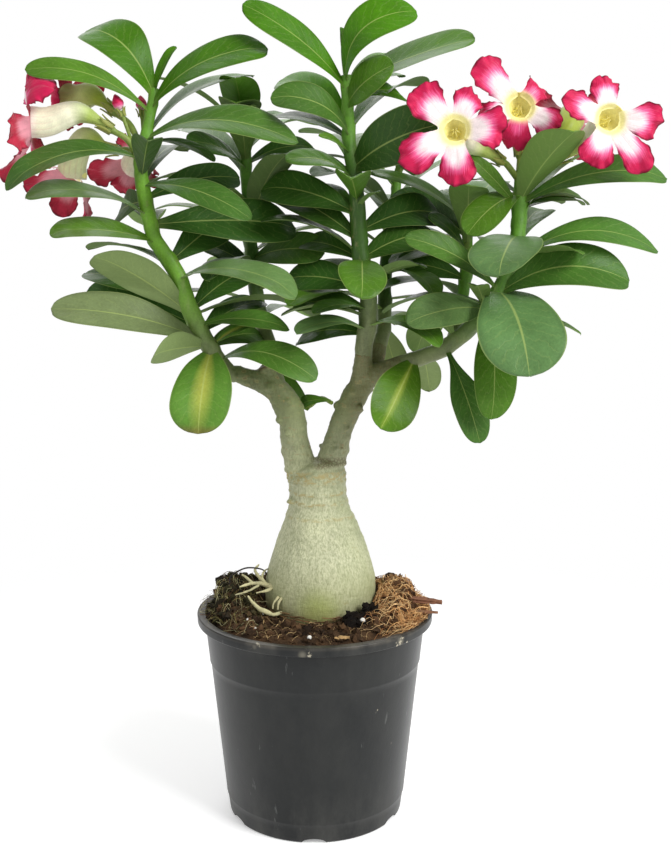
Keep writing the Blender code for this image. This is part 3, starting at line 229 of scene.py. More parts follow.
class Network:
    # shader nodes in the making, with the colour so far

    def __init__(self, tree):
        self.tree = tree

    def join(self, value, socket):
        if isinstance(value, bpy.types.NodeSocket):
            self.tree.links.new(value, socket)
        else:
            socket.default_value = (*value, 1) if socket.type == "RGBA" else value

    def fill(self, node, **sockets):
        # socket names are given without their spaces
        for name, value in sockets.items():
            self.join(value, next(s for s in node.inputs if s.name.replace(" ", "") == name))
        return node

    def add(self, kind, settings=None, **sockets):
        node = self.tree.nodes.new("ShaderNode" + kind)
        for name, value in (settings or {}).items():
            setattr(node, name, value)
        return self.fill(node, **sockets)

    def calc(self, operation, *values, clamp=False):
        node = self.add("Math", {"operation": operation, "use_clamp": clamp})
        for value, socket in zip(values, node.inputs):
            self.join(value, socket)
        return node.outputs[0]

    def plus(self, first, second):
        return self.calc("ADD", first, second)

    def minus(self, first, second):
        return self.calc("SUBTRACT", first, second)

    def times(self, first, second):
        return self.calc("MULTIPLY", first, second)

    def total(self, *weighted):
        # the sum of values, each times its weight
        return functools.reduce(self.plus, [self.times(value, weight) for value, weight in weighted])

    def away(self, value, centre):
        return self.calc("ABSOLUTE", self.minus(value, centre))

    def mix(self, share, below, above):
        node = self.add("Mix", {"data_type": "RGBA"})
        for value, k in ((share, 0), (below, 6), (above, 7)):  # 6 and 7 are its colour sockets
            self.join(value, node.inputs[k])
        return node.outputs[2]

    def mixShader(self, share, first, second):
        node = self.add("MixShader", Fac=share)
        self.join(first.outputs[0], node.inputs[1])
        self.join(second.outputs[0], node.inputs[2])
        return node.outputs[0]

    def ramp(self, share, *stops):
        node = self.add("ValToRGB", Fac=share)
        ramp = node.color_ramp
        while len(ramp.elements) < len(stops):
            ramp.elements.new(0.5)
        for element, (position, colour) in zip(ramp.elements, stops):
            element.position = position
            element.color = (*colour, 1)
        return node.outputs[0]

    def spread(self, value, low, high, first=0, last=1):
        # smooth change from first to last as value goes from low to high
        node = self.add("MapRange", {"interpolation_type": "SMOOTHSTEP"}, Value=value, FromMin=low, FromMax=high)
        return self.fill(node, ToMin=first, ToMax=last).outputs[0]

    def fade(self, value, low, high, first=1):
        return self.spread(value, low, high, first, 0)

    def place(self):
        return self.add("TexCoord").outputs["Object"]

    def parts(self, vector):
        return tuple(self.add("SeparateXYZ", Vector=vector).outputs)

    def surface(self):
        # the tint, the growth map and the map's two parts: along and across
        growth = self.add("UVMap", {"uv_map": "growth"}).outputs[0]
        return self.add("Attribute", {"attribute_name": "tint"}).outputs, growth, *self.parts(growth)[:2]

    def distance(self, place, at):
        node = self.add("VectorMath", {"operation": "DISTANCE"}, Vector=place)
        node.inputs[1].default_value = at
        return node.outputs["Value"]

    def scaled(self, vector, scale):
        return self.add("VectorMath", {"operation": "SCALE"}, Vector=vector, Scale=scale).outputs[0]

    def noise(self, place, scale, detail, roughness=0.5):
        return self.add("TexNoise", Vector=place, Scale=scale, Detail=detail, Roughness=roughness).outputs[0]

    def cells(self, place, scale):
        return self.add("TexVoronoi", {"feature": "DISTANCE_TO_EDGE"}, Vector=place, Scale=scale).outputs[0]

    def mottle(self, colour, patchScale, spotScale, amount):
        # the mottled colour and the mask of its patches
        node = self.add("Group", {"node_tree": growthMottle}, Colour=colour, PatchScale=patchScale)
        return tuple(self.fill(node, SpotScale=spotScale, Amount=amount).outputs)

    def grain(self, scale, stretch=1, roughness=0.6):
        node = self.add("Group", {"node_tree": surfaceGrain}, Scale=scale, Stretch=stretch, Roughness=roughness)
        return node.outputs[0]

    def worn(self, scale, threshold, softness, stretch=1, offset=0):
        node = self.add("Group", {"node_tree": wornPatches}, Scale=scale, Threshold=threshold, Softness=softness)
        return self.fill(node, Stretch=stretch, Offset=offset).outputs[0]

    def stain(self, above, mask, share=None):
        # lays a paint over the colour so far
        self.colour = self.mix(mask if share is None else self.times(mask, share), self.colour, above)

    def finish(self, roughness, height, depth, strength):
        # colour, roughness and bump go into the material's shader; depth is in metres
        bump = self.add("Bump", Height=height, Distance=depth, Strength=strength)
        self.fill(self.shader, BaseColor=self.colour, Roughness=roughness, Normal=bump.outputs[0])
        return self.material


def newMaterial(name, **constants):
    material = bpy.data.materials.new(name)
    material.use_nodes = True
    net = Network(material.node_tree)
    net.material, net.shader = material, material.node_tree.nodes["Principled BSDF"]
    net.fill(net.shader, **constants)
    return net


# camera, light and floor

view = {
    "cameraAt": (0.01313, -0.7111, 0.361),  # metres
    "lookDown": 8.72,  # degrees
    "lens": 49.05, "sensor": 36, "farthest": 50,
    # place, size and watts of each lamp, which all look at lightAim
    "keyLight": ((1, -0.85, 1.2), 0.75, 25), "fillLight": ((-1.2, -0.9, 0.7), 1.2, 3),
    "backLight": ((-0.2, 1.1, 1.2), 1.2, 9), "lightAim": (0, 0, 0.25), "roomLight": 0.46,
    # the floor turns into plain white light away from the pot, so no horizon shows
    "floorRadius": 6, "floorPaint": (0.9, 0.9, 0.9), "floorGlow": 0.34, "floorFade": (0.12, 0.6),
}


def setStage():
    camera = placeThing("photoCamera", bpy.data.cameras.new("photoCamera"))
    camera.location = view["cameraAt"]
    camera.rotation_euler = (radians(90 - view["lookDown"]), 0, 0)
    camera.data.lens, camera.data.sensor_width, camera.data.clip_end = view["lens"], view["sensor"], view["farthest"]
    scene.camera = camera
    for name in ("keyLight", "fillLight", "backLight"):
        place, size, watts = view[name]
        lamp = bpy.data.lights.new(name, "AREA")
        lamp.size, lamp.energy = size, watts
        light = placeThing(name, lamp)
        light.location = place
        light.rotation_euler = (Vector(view["lightAim"]) - Vector(place)).to_track_quat("-Z", "Y").to_euler()
    world = bpy.data.worlds.new("studio")
    scene.world = world
    world.use_nodes = True
    net = Network(world.node_tree)
    room = net.fill(net.tree.nodes["Background"], Color=(1, 1, 1), Strength=view["roomLight"])
    seen = net.add("Background", Color=(1, 1, 1))
    sky = net.mixShader(net.add("LightPath").outputs["Is Camera Ray"], room, seen)
    net.fill(net.tree.nodes["World Output"], Surface=sky)
    scene.view_settings.view_transform = "Standard"

    shape = bmesh.new()
    bmesh.ops.create_circle(shape, cap_ends=True, segments=96, radius=view["floorRadius"])
    mesh = bpy.data.meshes.new("floor")
    shape.to_mesh(mesh)
    shape.free()
    net = newMaterial("paleFloor", BaseColor=view["floorPaint"], Roughness=0.8, EmissionColor=(1, 1, 1),
                      EmissionStrength=view["floorGlow"])
    length = net.add("VectorMath", {"operation": "LENGTH"}, Vector=net.place()).outputs["Value"]
    white = net.mixShader(net.spread(length, *view["floorFade"]), net.shader, net.add("Emission"))
    net.fill(net.tree.nodes["Material Output"], Surface=white)
    mesh.materials.append(net.material)
    floor = placeThing("floor", mesh)


setStage()
print("stage set")


# effects that several finishes share

def newGroup(name, inputs, outputs):
    group = bpy.data.node_groups.new(name, "ShaderNodeTree")
    for label, value in inputs.items():
        kind = "NodeSocketColor" if label == "Colour" else "NodeSocketFloat"
        group.interface.new_socket(label, in_out="INPUT", socket_type=kind).default_value = value
    for label in outputs:
        kind = "NodeSocketColor" if label == "Colour" else "NodeSocketFloat"
        group.interface.new_socket(label, in_out="OUTPUT", socket_type=kind)
    return Network(group), group.nodes.new("NodeGroupInput").outputs, group.nodes.new("NodeGroupOutput")


def stretchedPlace(net, stretch, offset=None):
    # the place on the object, shrunk along Z and shifted along X
    x, y, z = net.parts(net.place())
    x = x if offset is None else net.plus(x, offset)
    return net.add("CombineXYZ", X=x, Y=y, Z=net.calc("DIVIDE", z, stretch)).outputs[0]


def makeGrowthMottle():
    # uneven colour: large soft areas and small spots, lighter and darker than the colour that comes in
    inputs = {"Colour": (0.5, 0.5, 0.5, 1), "Patch Scale": 40, "Spot Scale": 400, "Amount": 0.3}
    net, given, out = newGroup("growthMottle", inputs, ("Colour", "Mask"))
    place = net.place()
    patches = net.noise(place, given["Patch Scale"], 3)
    spots = net.noise(place, given["Spot Scale"], 2)
    signed = net.times(net.minus(net.total((patches, 1.3), (spots, 0.7)), 1), given["Amount"])
    gain = net.plus(net.times(signed, 2), 1)
    net.fill(out, Colour=net.scaled(given["Colour"], gain), Mask=patches)
    return net.tree


def makeSurfaceGrain():
    # fine height for bump: noise that can be stretched along Z
    inputs = {"Scale": 300, "Stretch": 1, "Roughness": 0.6}
    net, given, out = newGroup("surfaceGrain", inputs, ("Height",))
    place = stretchedPlace(net, given["Stretch"])
    net.fill(out, Height=net.noise(place, given["Scale"], 5, given["Roughness"]))
    return net.tree


def makeWornPatches():
    # mask of ragged patches: scuffs, scars, dust and moss
    inputs = {"Scale": 30, "Stretch": 1, "Threshold": 0.6, "Softness": 0.05, "Offset": 0}
    net, given, out = newGroup("wornPatches", inputs, ("Mask",))
    field = net.noise(stretchedPlace(net, given["Stretch"], given["Offset"]), given["Scale"], 6, 0.65)
    mask = net.calc("DIVIDE", net.minus(field, given["Threshold"]), given["Softness"], clamp=True)
    net.fill(out, Mask=mask)
    return net.tree


growthMottle = makeGrowthMottle()
surfaceGrain = makeSurfaceGrain()
wornPatches = makeWornPatches()

# simpler finishes: a mottled tint or paint, worn patches over it, a roughness that follows the mottle, and grain
# mottle: patch scale, spot scale and amount; stains: paint, share and the patches' scale, threshold, softness,
# stretch and offset; grain: scale, stretch and roughness; bump: depth in metres and strength
plainFinishes = {
    "stemSkin": {
        "specular": 0.4, "mottle": (90, 900, 0.4), "rough": (0.42, 0.62), "grain": (500, 4),
        "stains": ((paint(158, 160, 112), 0.3, (260, 0.55, 0.15, 5)),
                   (paint(130, 118, 78), 0.45, (120, 0.62, 0.05, 1.6, 0.3))), "bump": (0.0006, 0.5),
    },
    "rootSkin": {
        "specular": 0.3, "mottle": (120, 900, 0.5), "rough": (0.6, 0.8), "grain": (700,),
        "stains": ((paint(90, 68, 42), 0.6, (240, 0.6, 0.08)),), "bump": (0.0006, 0.6),
    },
    "pottingMix": {
        "specular": 0.2, "mottle": (120, 900, 0.7), "rough": (0.82, 1), "grain": (650, 1, 0.75),
        "stains": ((paint(150, 112, 72), 0.55, (420, 0.64, 0.05)),), "bump": (0.0014, 0.9),
    },
    "coirFibre": {
        "specular": 0.3, "mottle": (200, 1200, 0.5), "rough": (0.6, 0.85), "grain": (1500,),
        "stains": (), "bump": (0.0003, 0.5),
    },
    "chipBark": {
        "specular": 0.25, "mottle": (150, 800, 0.5), "rough": (0.75, 0.95), "grain": (500, 0.4),
        "stains": ((paint(84, 52, 32), 0.5, (300, 0.52, 0.1, 0.3)),), "bump": (0.0009, 0.8),
    },
    "perliteBead": {
        "specular": 0.3, "mottle": (300, 1400, 0.25), "rough": (0.7, 0.9), "grain": (1500,),
        "paint": paint(232, 230, 222),
        "stains": ((paint(160, 136, 100), 0.4, (500, 0.6, 0.08)),), "bump": (0.0005, 0.7),
    },
}


def makePlainFinish(name):
    look = plainFinishes[name]
    net = newMaterial(name, SpecularIORLevel=look["specular"])
    ground = look.get("paint") or net.add("Attribute", {"attribute_name": "tint"}).outputs["Color"]
    net.colour, patches = net.mottle(ground, *look["mottle"])
    for above, share, patchValues in look["stains"]:
        net.stain(above, net.worn(*patchValues), share)
    return net.finish(net.spread(patches, 0.3, 0.7, *look["rough"]), net.grain(*look["grain"]), *look["bump"])


leafLook = {
    "underside": paint(128, 150, 88), "midrib": paint(170, 186, 106), "veinCount": 11, "veinLean": 2.4,
    "edgeDark": 0.8, "blemish": paint(96, 92, 48),
}


def makeLeafSkin():
    net = newMaterial("leafSkin", SpecularIORLevel=0.2)
    tint, growth, along, across = net.surface()
    under = tint["Alpha"]
    middle = net.times(net.away(across, 0.5), 2)
    # the midrib narrows towards the tip
    ribWidth = net.plus(net.times(net.minus(1, along), 0.06), 0.018)
    rib = net.calc("SUBTRACT", 1, net.calc("DIVIDE", middle, ribWidth), clamp=True)
    # side veins lean forward, and those of the two halves alternate
    half = net.times(net.calc("GREATER_THAN", across, 0.5), 0.45)
    lean = net.times(net.calc("POWER", middle, 0.85), leafLook["veinLean"])
    count = net.plus(net.times(along, leafLook["veinCount"]), half)
    line = net.plus(net.minus(count, lean), net.times(net.noise(growth, 9, 2), 1.3))
    vein = net.times(net.fade(net.calc("PINGPONG", line, 0.5), 0, 0.11), net.fade(middle, 0.75, 1))
    fine = net.fade(net.cells(growth, 26), 0, 0.08)
    base, patches = net.mottle(tint["Color"], 55, 700, 0.3)
    edged = net.scaled(base, net.spread(middle, 0.8, 1, 1, leafLook["edgeDark"]))
    net.colour = net.mix(under, edged, net.mix(0.5, edged, leafLook["underside"]))
    lighter = net.mix(0.45, net.colour, leafLook["midrib"])
    net.stain(lighter, vein, 0.2)
    net.stain(lighter, fine, 0.06)
    ribColour = net.mix(0.5, net.colour, leafLook["midrib"])
    net.stain(ribColour, net.spread(rib, 0, 0.7))
    # the margin catches the light
    net.stain(leafLook["midrib"], net.times(net.spread(middle, 0.955, 0.985), net.minus(1, under)), 0.3)
    # the foot is paler, like the stem
    net.stain(ribColour, net.fade(along, 0, 0.14, 0.5))
    net.stain(leafLook["blemish"], net.worn(210, 0.69, 0.04), 0.35)
    roughness = net.plus(net.total((patches, 0.2), (under, 0.3)), 0.3)
    relief = net.total((net.grain(900), 0.16), (vein, -0.3), (fine, -0.1))
    return net.finish(roughness, relief, 0.00035, 0.6)


barkLook = {
    "pale": paint(198, 199, 164), "green": paint(154, 162, 118), "fleck": paint(118, 126, 88),
    "tan": paint(164, 150, 98), "brown": paint(112, 92, 66), "branch": paint(108, 116, 74), "scar": paint(150, 122, 82),
    "crack": paint(96, 78, 52), "foot": paint(158, 160, 110), "blush": paint(150, 166, 60),
    "soiled": paint(112, 92, 56),
    # in metres: where the blush and the cut stub are, and the height of the cracked shelf
    "blushAt": (0.003, -0.035, 0.138), "stubAt": (-0.032, -0.0065, 0.2895), "shelfAt": 0.2275,
    # scale, threshold, share and offset of the upright flecks
    "flecks": ((1000, 0.47, 0.5, 0), (1500, 0.47, 0.42, 0.7), (480, 0.54, 0.16, 0.4)),
    # height, reach and share of the rings of old collars
    "rings": ((0.2185, 0.0052, 0.9), (0.2085, 0.0016, 0.75), (0.2025, 0.0018, 0.75), (0.193, 0.0015, 0.5)),
}


def makeTrunkBark():
    net = newMaterial("trunkBark", SpecularIORLevel=0.35)
    place = net.place()
    x, _, z = net.parts(place)
    net.colour, patches = net.mottle(barkLook["pale"], 34, 420, 0.22)
    greener = net.worn(26, 0.48, 0.16, 1.8)
    net.stain(barkLook["green"], greener, 0.55)
    # greener and darker where the branches are younger
    up = net.spread(z, 0.205, 0.27)
    net.stain(net.mottle(barkLook["branch"], 60, 500, 0.5)[0], up)
    net.stain(barkLook["brown"], net.times(net.spread(x, 0.012, 0.03), up), 0.42)
    net.stain(barkLook["branch"], net.times(net.spread(z, 0.185, 0.22), net.minus(1, up)), 0.15)
    # tan scars with a dark middle on the branches, then level marks and specks
    marks = net.add("Mapping", Vector=place, Scale=(1, 1, 1.5)).outputs[0]
    spot = net.add("TexVoronoi", Vector=marks, Scale=150).outputs
    fromSpot = net.plus(spot["Distance"], net.times(net.minus(net.grain(620), 0.5), 0.45))
    some = net.times(net.calc("GREATER_THAN", net.parts(spot["Color"])[0], 0.42), net.spread(z, 0.222, 0.236))
    net.stain(barkLook["tan"], net.fade(fromSpot, 0.2, 0.34, 0.42), some)
    net.stain(barkLook["crack"], net.fade(fromSpot, 0.08, 0.18, 0.7), some)
    onBranch = net.spread(z, 0.215, 0.24, 0.12, 1)
    net.stain(barkLook["scar"], net.times(net.worn(240, 0.6, 0.05, 0.35, 2.1), 0.7), onBranch)
    net.stain(barkLook["crack"], net.times(net.worn(420, 0.63, 0.05, 0.8, 2.9), 0.6), onBranch)
    for scale, threshold, share, offset in barkLook["flecks"]:
        net.stain(barkLook["fleck"], net.worn(scale, threshold, 0.14, 3.6, offset), share)
    # the rings sway and are broken up by noise
    broken = net.worn(260, 0.47, 0.1, 0.5, 0.2)
    swayed = net.plus(z, net.times(net.minus(net.noise(place, 45, 2), 0.5), 0.004))
    for height, reach, share in barkLook["rings"]:
        ring = net.times(net.fade(net.away(swayed, height), reach * 0.3, reach), broken)
        net.stain(barkLook["tan"], ring, share)
    # a green blush low on the front, where the light gets through the crown, and the brown end of the cut stub
    net.stain(barkLook["blush"], net.fade(net.distance(place, barkLook["blushAt"]), 0.004, 0.02, 0.75))
    net.stain(barkLook["crack"], net.fade(net.distance(place, barkLook["stubAt"]), 0.0035, 0.006, 0.85))
    # cracked skin on the shelf at the neck's top
    shelf = net.times(net.spread(net.cells(place, 520), 0, 0.3, 1, 0.15),
                      net.fade(net.away(swayed, barkLook["shelfAt"]), 0.0015, 0.004))
    net.stain(barkLook["crack"], net.times(shelf, net.spread(x, -0.004, 0.004, 0.15, 1)), 0.7)
    net.stain(barkLook["tan"], net.worn(85, 0.66, 0.04, 0.8, 1.3), 0.7)
    # the foot is greener, then stained with soil
    net.stain(barkLook["foot"], net.fade(z, 0.146, 0.172, 0.45))
    foot = net.times(net.fade(z, 0.133, 0.146), net.spread(greener, 0, 1, 0.4, 1))
    net.stain(barkLook["soiled"], foot, 0.75)
    relief = net.total((net.grain(420, 3, 0.7), 0.7), (net.grain(160, 0.25), 0.5))
    return net.finish(net.spread(patches, 0.3, 0.7, 0.5, 0.7), relief, 0.0014, 0.7)


petalLook = {
    "heart": paint(242, 226, 226), "blush": paint(240, 182, 202), "pink": paint(228, 88, 140),
    "crimson": paint(194, 20, 74), "rim": paint(96, 2, 30), "back": paint(184, 42, 68),
    "backPale": paint(228, 150, 165), "foot": paint(242, 234, 150),
    "across": ((0, "heart"), (0.22, "heart"), (0.4, "blush"), (0.6, "pink"), (0.84, "crimson"), (1, "crimson")),
}


def makePetalSilk():
    net = newMaterial("petalSilk", SpecularIORLevel=0.22, SheenWeight=0.1, SheenRoughness=0.4)
    tint, _, along, across = net.surface()
    middle = net.times(net.away(across, 0.5), 2)
    # rays: noise stretched along the petal
    rayPlace = net.add("CombineXYZ", X=net.times(along, 0.9), Y=net.times(across, 14)).outputs[0]
    parting = net.add("VectorMath", {"operation": "ADD"}, Vector=rayPlace)
    net.join(tint["Vector"], parting.inputs[1])
    rays = net.noise(parting.outputs[0], 2.2, 4, 0.65)
    sides = net.times(net.calc("POWER", middle, 1.7), net.spread(along, 0.12, 0.5))
    keep = net.times(net.minus(1, sides), net.minus(1, net.spread(along, 0.3, 0.95)))
    # the tint's blue says how red this petal is
    toEdge = net.plus(net.minus(1, keep), net.parts(tint["Vector"])[2])
    stirred = net.calc("ADD", toEdge, net.times(net.minus(rays, 0.5), 0.6), clamp=True)
    front = net.ramp(stirred, *((at, petalLook[name]) for at, name in petalLook["across"]))
    front = net.mix(net.fade(along, 0.03, 0.26, 0.9), front, petalLook["foot"])
    back = net.mix(net.spread(stirred, 0.1, 0.75), petalLook["backPale"], petalLook["back"])
    net.colour = net.mix(tint["Alpha"], front, back)
    # a thin dark line along the crinkled edge
    edge = net.times(net.spread(middle, 0.84, 0.98), net.spread(along, 0.25, 0.5))
    net.stain(petalLook["rim"], net.calc("MAXIMUM", edge, net.spread(along, 0.92, 0.99)), 0.75)
    net.colour, _ = net.mottle(net.colour, 150, 1500, 0.2)
    relief = net.total((rays, 0.9), (net.grain(1400), 0.15))
    return net.finish(net.spread(rays, 0.3, 0.7, 0.42, 0.6), relief, 0.0006, 0.7)


funnelLook = {
    "foot": paint(164, 184, 92), "side": paint(238, 236, 206), "mouth": paint(246, 232, 220),
    "throat": paint(244, 236, 150), "deep": paint(234, 222, 118), "pale": paint(242, 234, 150),
    "stripe": paint(196, 64, 74), "olive": paint(148, 164, 44),
    "outside": ((0, "foot"), (0.25, "foot"), (0.5, "side"), (0.9, "side"), (1, "mouth")),
    "inside": ((0, "deep"), (0.35, "throat"), (0.8, "pale"), (1, "pale")),
}


def makeFunnelSkin():
    net = newMaterial("funnelSkin", SpecularIORLevel=0.3, SheenWeight=0.2, SheenRoughness=0.4)
    tint, _, along, across = net.surface()
    olive = net.parts(tint["Vector"])[0]  # the tint's red: a greener tube
    outside, inside = (net.ramp(along, *((at, funnelLook[name]) for at, name in funnelLook[face]))
                       for face in ("outside", "inside"))
    outside = net.mix(net.times(olive, 0.95), outside, funnelLook["olive"])
    ribs = net.calc("PINGPONG", net.times(across, 15), 0.5)
    net.colour = net.mix(tint["Alpha"], outside, inside)
    stripe = net.times(net.fade(ribs, 0, 0.2), net.spread(along, 0.45, 0.9))
    net.stain(funnelLook["stripe"], stripe, net.spread(tint["Alpha"], 0, 1, 0.12, 0.22))
    net.colour, patches = net.mottle(net.colour, 170, 1300, 0.22)
    relief = net.total((ribs, 0.35), (net.grain(1100), 0.3))
    return net.finish(net.spread(patches, 0.3, 0.7, 0.48, 0.65), relief, 0.0006, 0.6)


leafSkin = makeLeafSkin()
stemSkin = makePlainFinish("stemSkin")
trunkBarkSkin = makeTrunkBark()
rootSkin = makePlainFinish("rootSkin")
petalSilk = makePetalSilk()
funnelSkin = makeFunnelSkin()
pottingMix, coirFibre, chipBark, perliteBead = (
    makePlainFinish(name) for name in ("pottingMix", "coirFibre", "chipBark", "perliteBead"))
print("finishes made")


# shoots and leaves

shoots = {
    "shoot_left": (
        (
            (-47.8, -6.1, 282.9, 5.2), (-51.8, -6.4, 283.4, 5.2), (-57, -8, 289, 5.2), (-64, -10, 300, 5.2),
            (-73, -14, 318, 5.1), (-81, -18, 343, 4.9), (-90, -19, 358, 4.6), (-95, -20, 367, 4.4),
            (-98, -20, 382, 4.2), (-101, -20, 398, 4), (-101, -20, 410, 3.8), (-98, -19, 425, 3.4),
            (-94, -16, 445, 2.8), (-93, -15, 452, 2),
        ),
    ),
    "shoot_left_back": (
        (
            (-27.9, 9.8, 295.6, 5), (-28.6, 11.4, 299, 5), (-34, 22, 314, 4.6), (-40, 32, 346, 4.3),
            (-42, 38, 377, 4.1), (-44, 40, 408, 3.6), (-45, 42, 434, 2.6), (-45, 42, 440, 2),
        ),
    ),
    "shoot_centre": (
        (
            (30.3, -10, 297.1, 5.4), (30.5, -10.9, 301, 5.4), (33, -13, 315, 5.3), (33, -14, 329, 5.2),
            (28, -16, 358, 4.9), (26, -16, 388, 4.5), (22, -14, 417, 3.9), (20, -12, 446, 3.3),
            (19, -12, 460, 2.2),
        ),
    ),
    "shoot_centre_back": (
        (
            (41, 10, 300, 4.6), (42, 11.7, 303.5, 4.5), (44, 18, 314, 4.4), (45, 30, 346, 4.1),
            (50, 42, 377, 3.7), (54, 50, 410, 2.4),
        ),
    ),
    "shoot_right": (
        (
            (55.8, -8.2, 289.9, 5.1), (59.4, -8.9, 291.4, 5.1), (67, -10.5, 294, 5), (80, -14, 300, 5),
            (95, -18, 313, 4.9), (108, -20, 329, 4.8), (115, -20, 343, 4.7), (119, -20, 354, 4.6),
            (122, -18, 372, 4.4), (122, -16, 383, 4.2), (123, -15, 394, 3.9), (122, -14, 405, 3),
        ),
        (
            (84, -14, 303, 4.2), (88, 0, 312, 4), (93, 14, 330, 3.8), (96, 22, 352, 3.6),
            (97, 26, 378, 2.6),
        ),
    ),
}

# greens of a leaf by its age and light
leafGreens = {
    "fresh": paint(66, 118, 2), "bright": paint(76, 118, 28), "mid": paint(66, 104, 36), "deep": paint(48, 84, 26),
    "lit": paint(94, 128, 72), "lime": paint(70, 108, 18), "yellow": paint(88, 130, 44), "pale": paint(122, 139, 93),
}
# painted shade: the right shoot's leaves are a little darker
leafShade = {"shoot_right": 0.95}
# the two hanging leaves have a broad yellow rib: its colour, its reach to the edge and the brown at the tip
yellowRibs = {"yellow": (paint(170, 174, 76), 0.42, 0.6), "lime": (paint(150, 166, 60), 0.26, 0)}

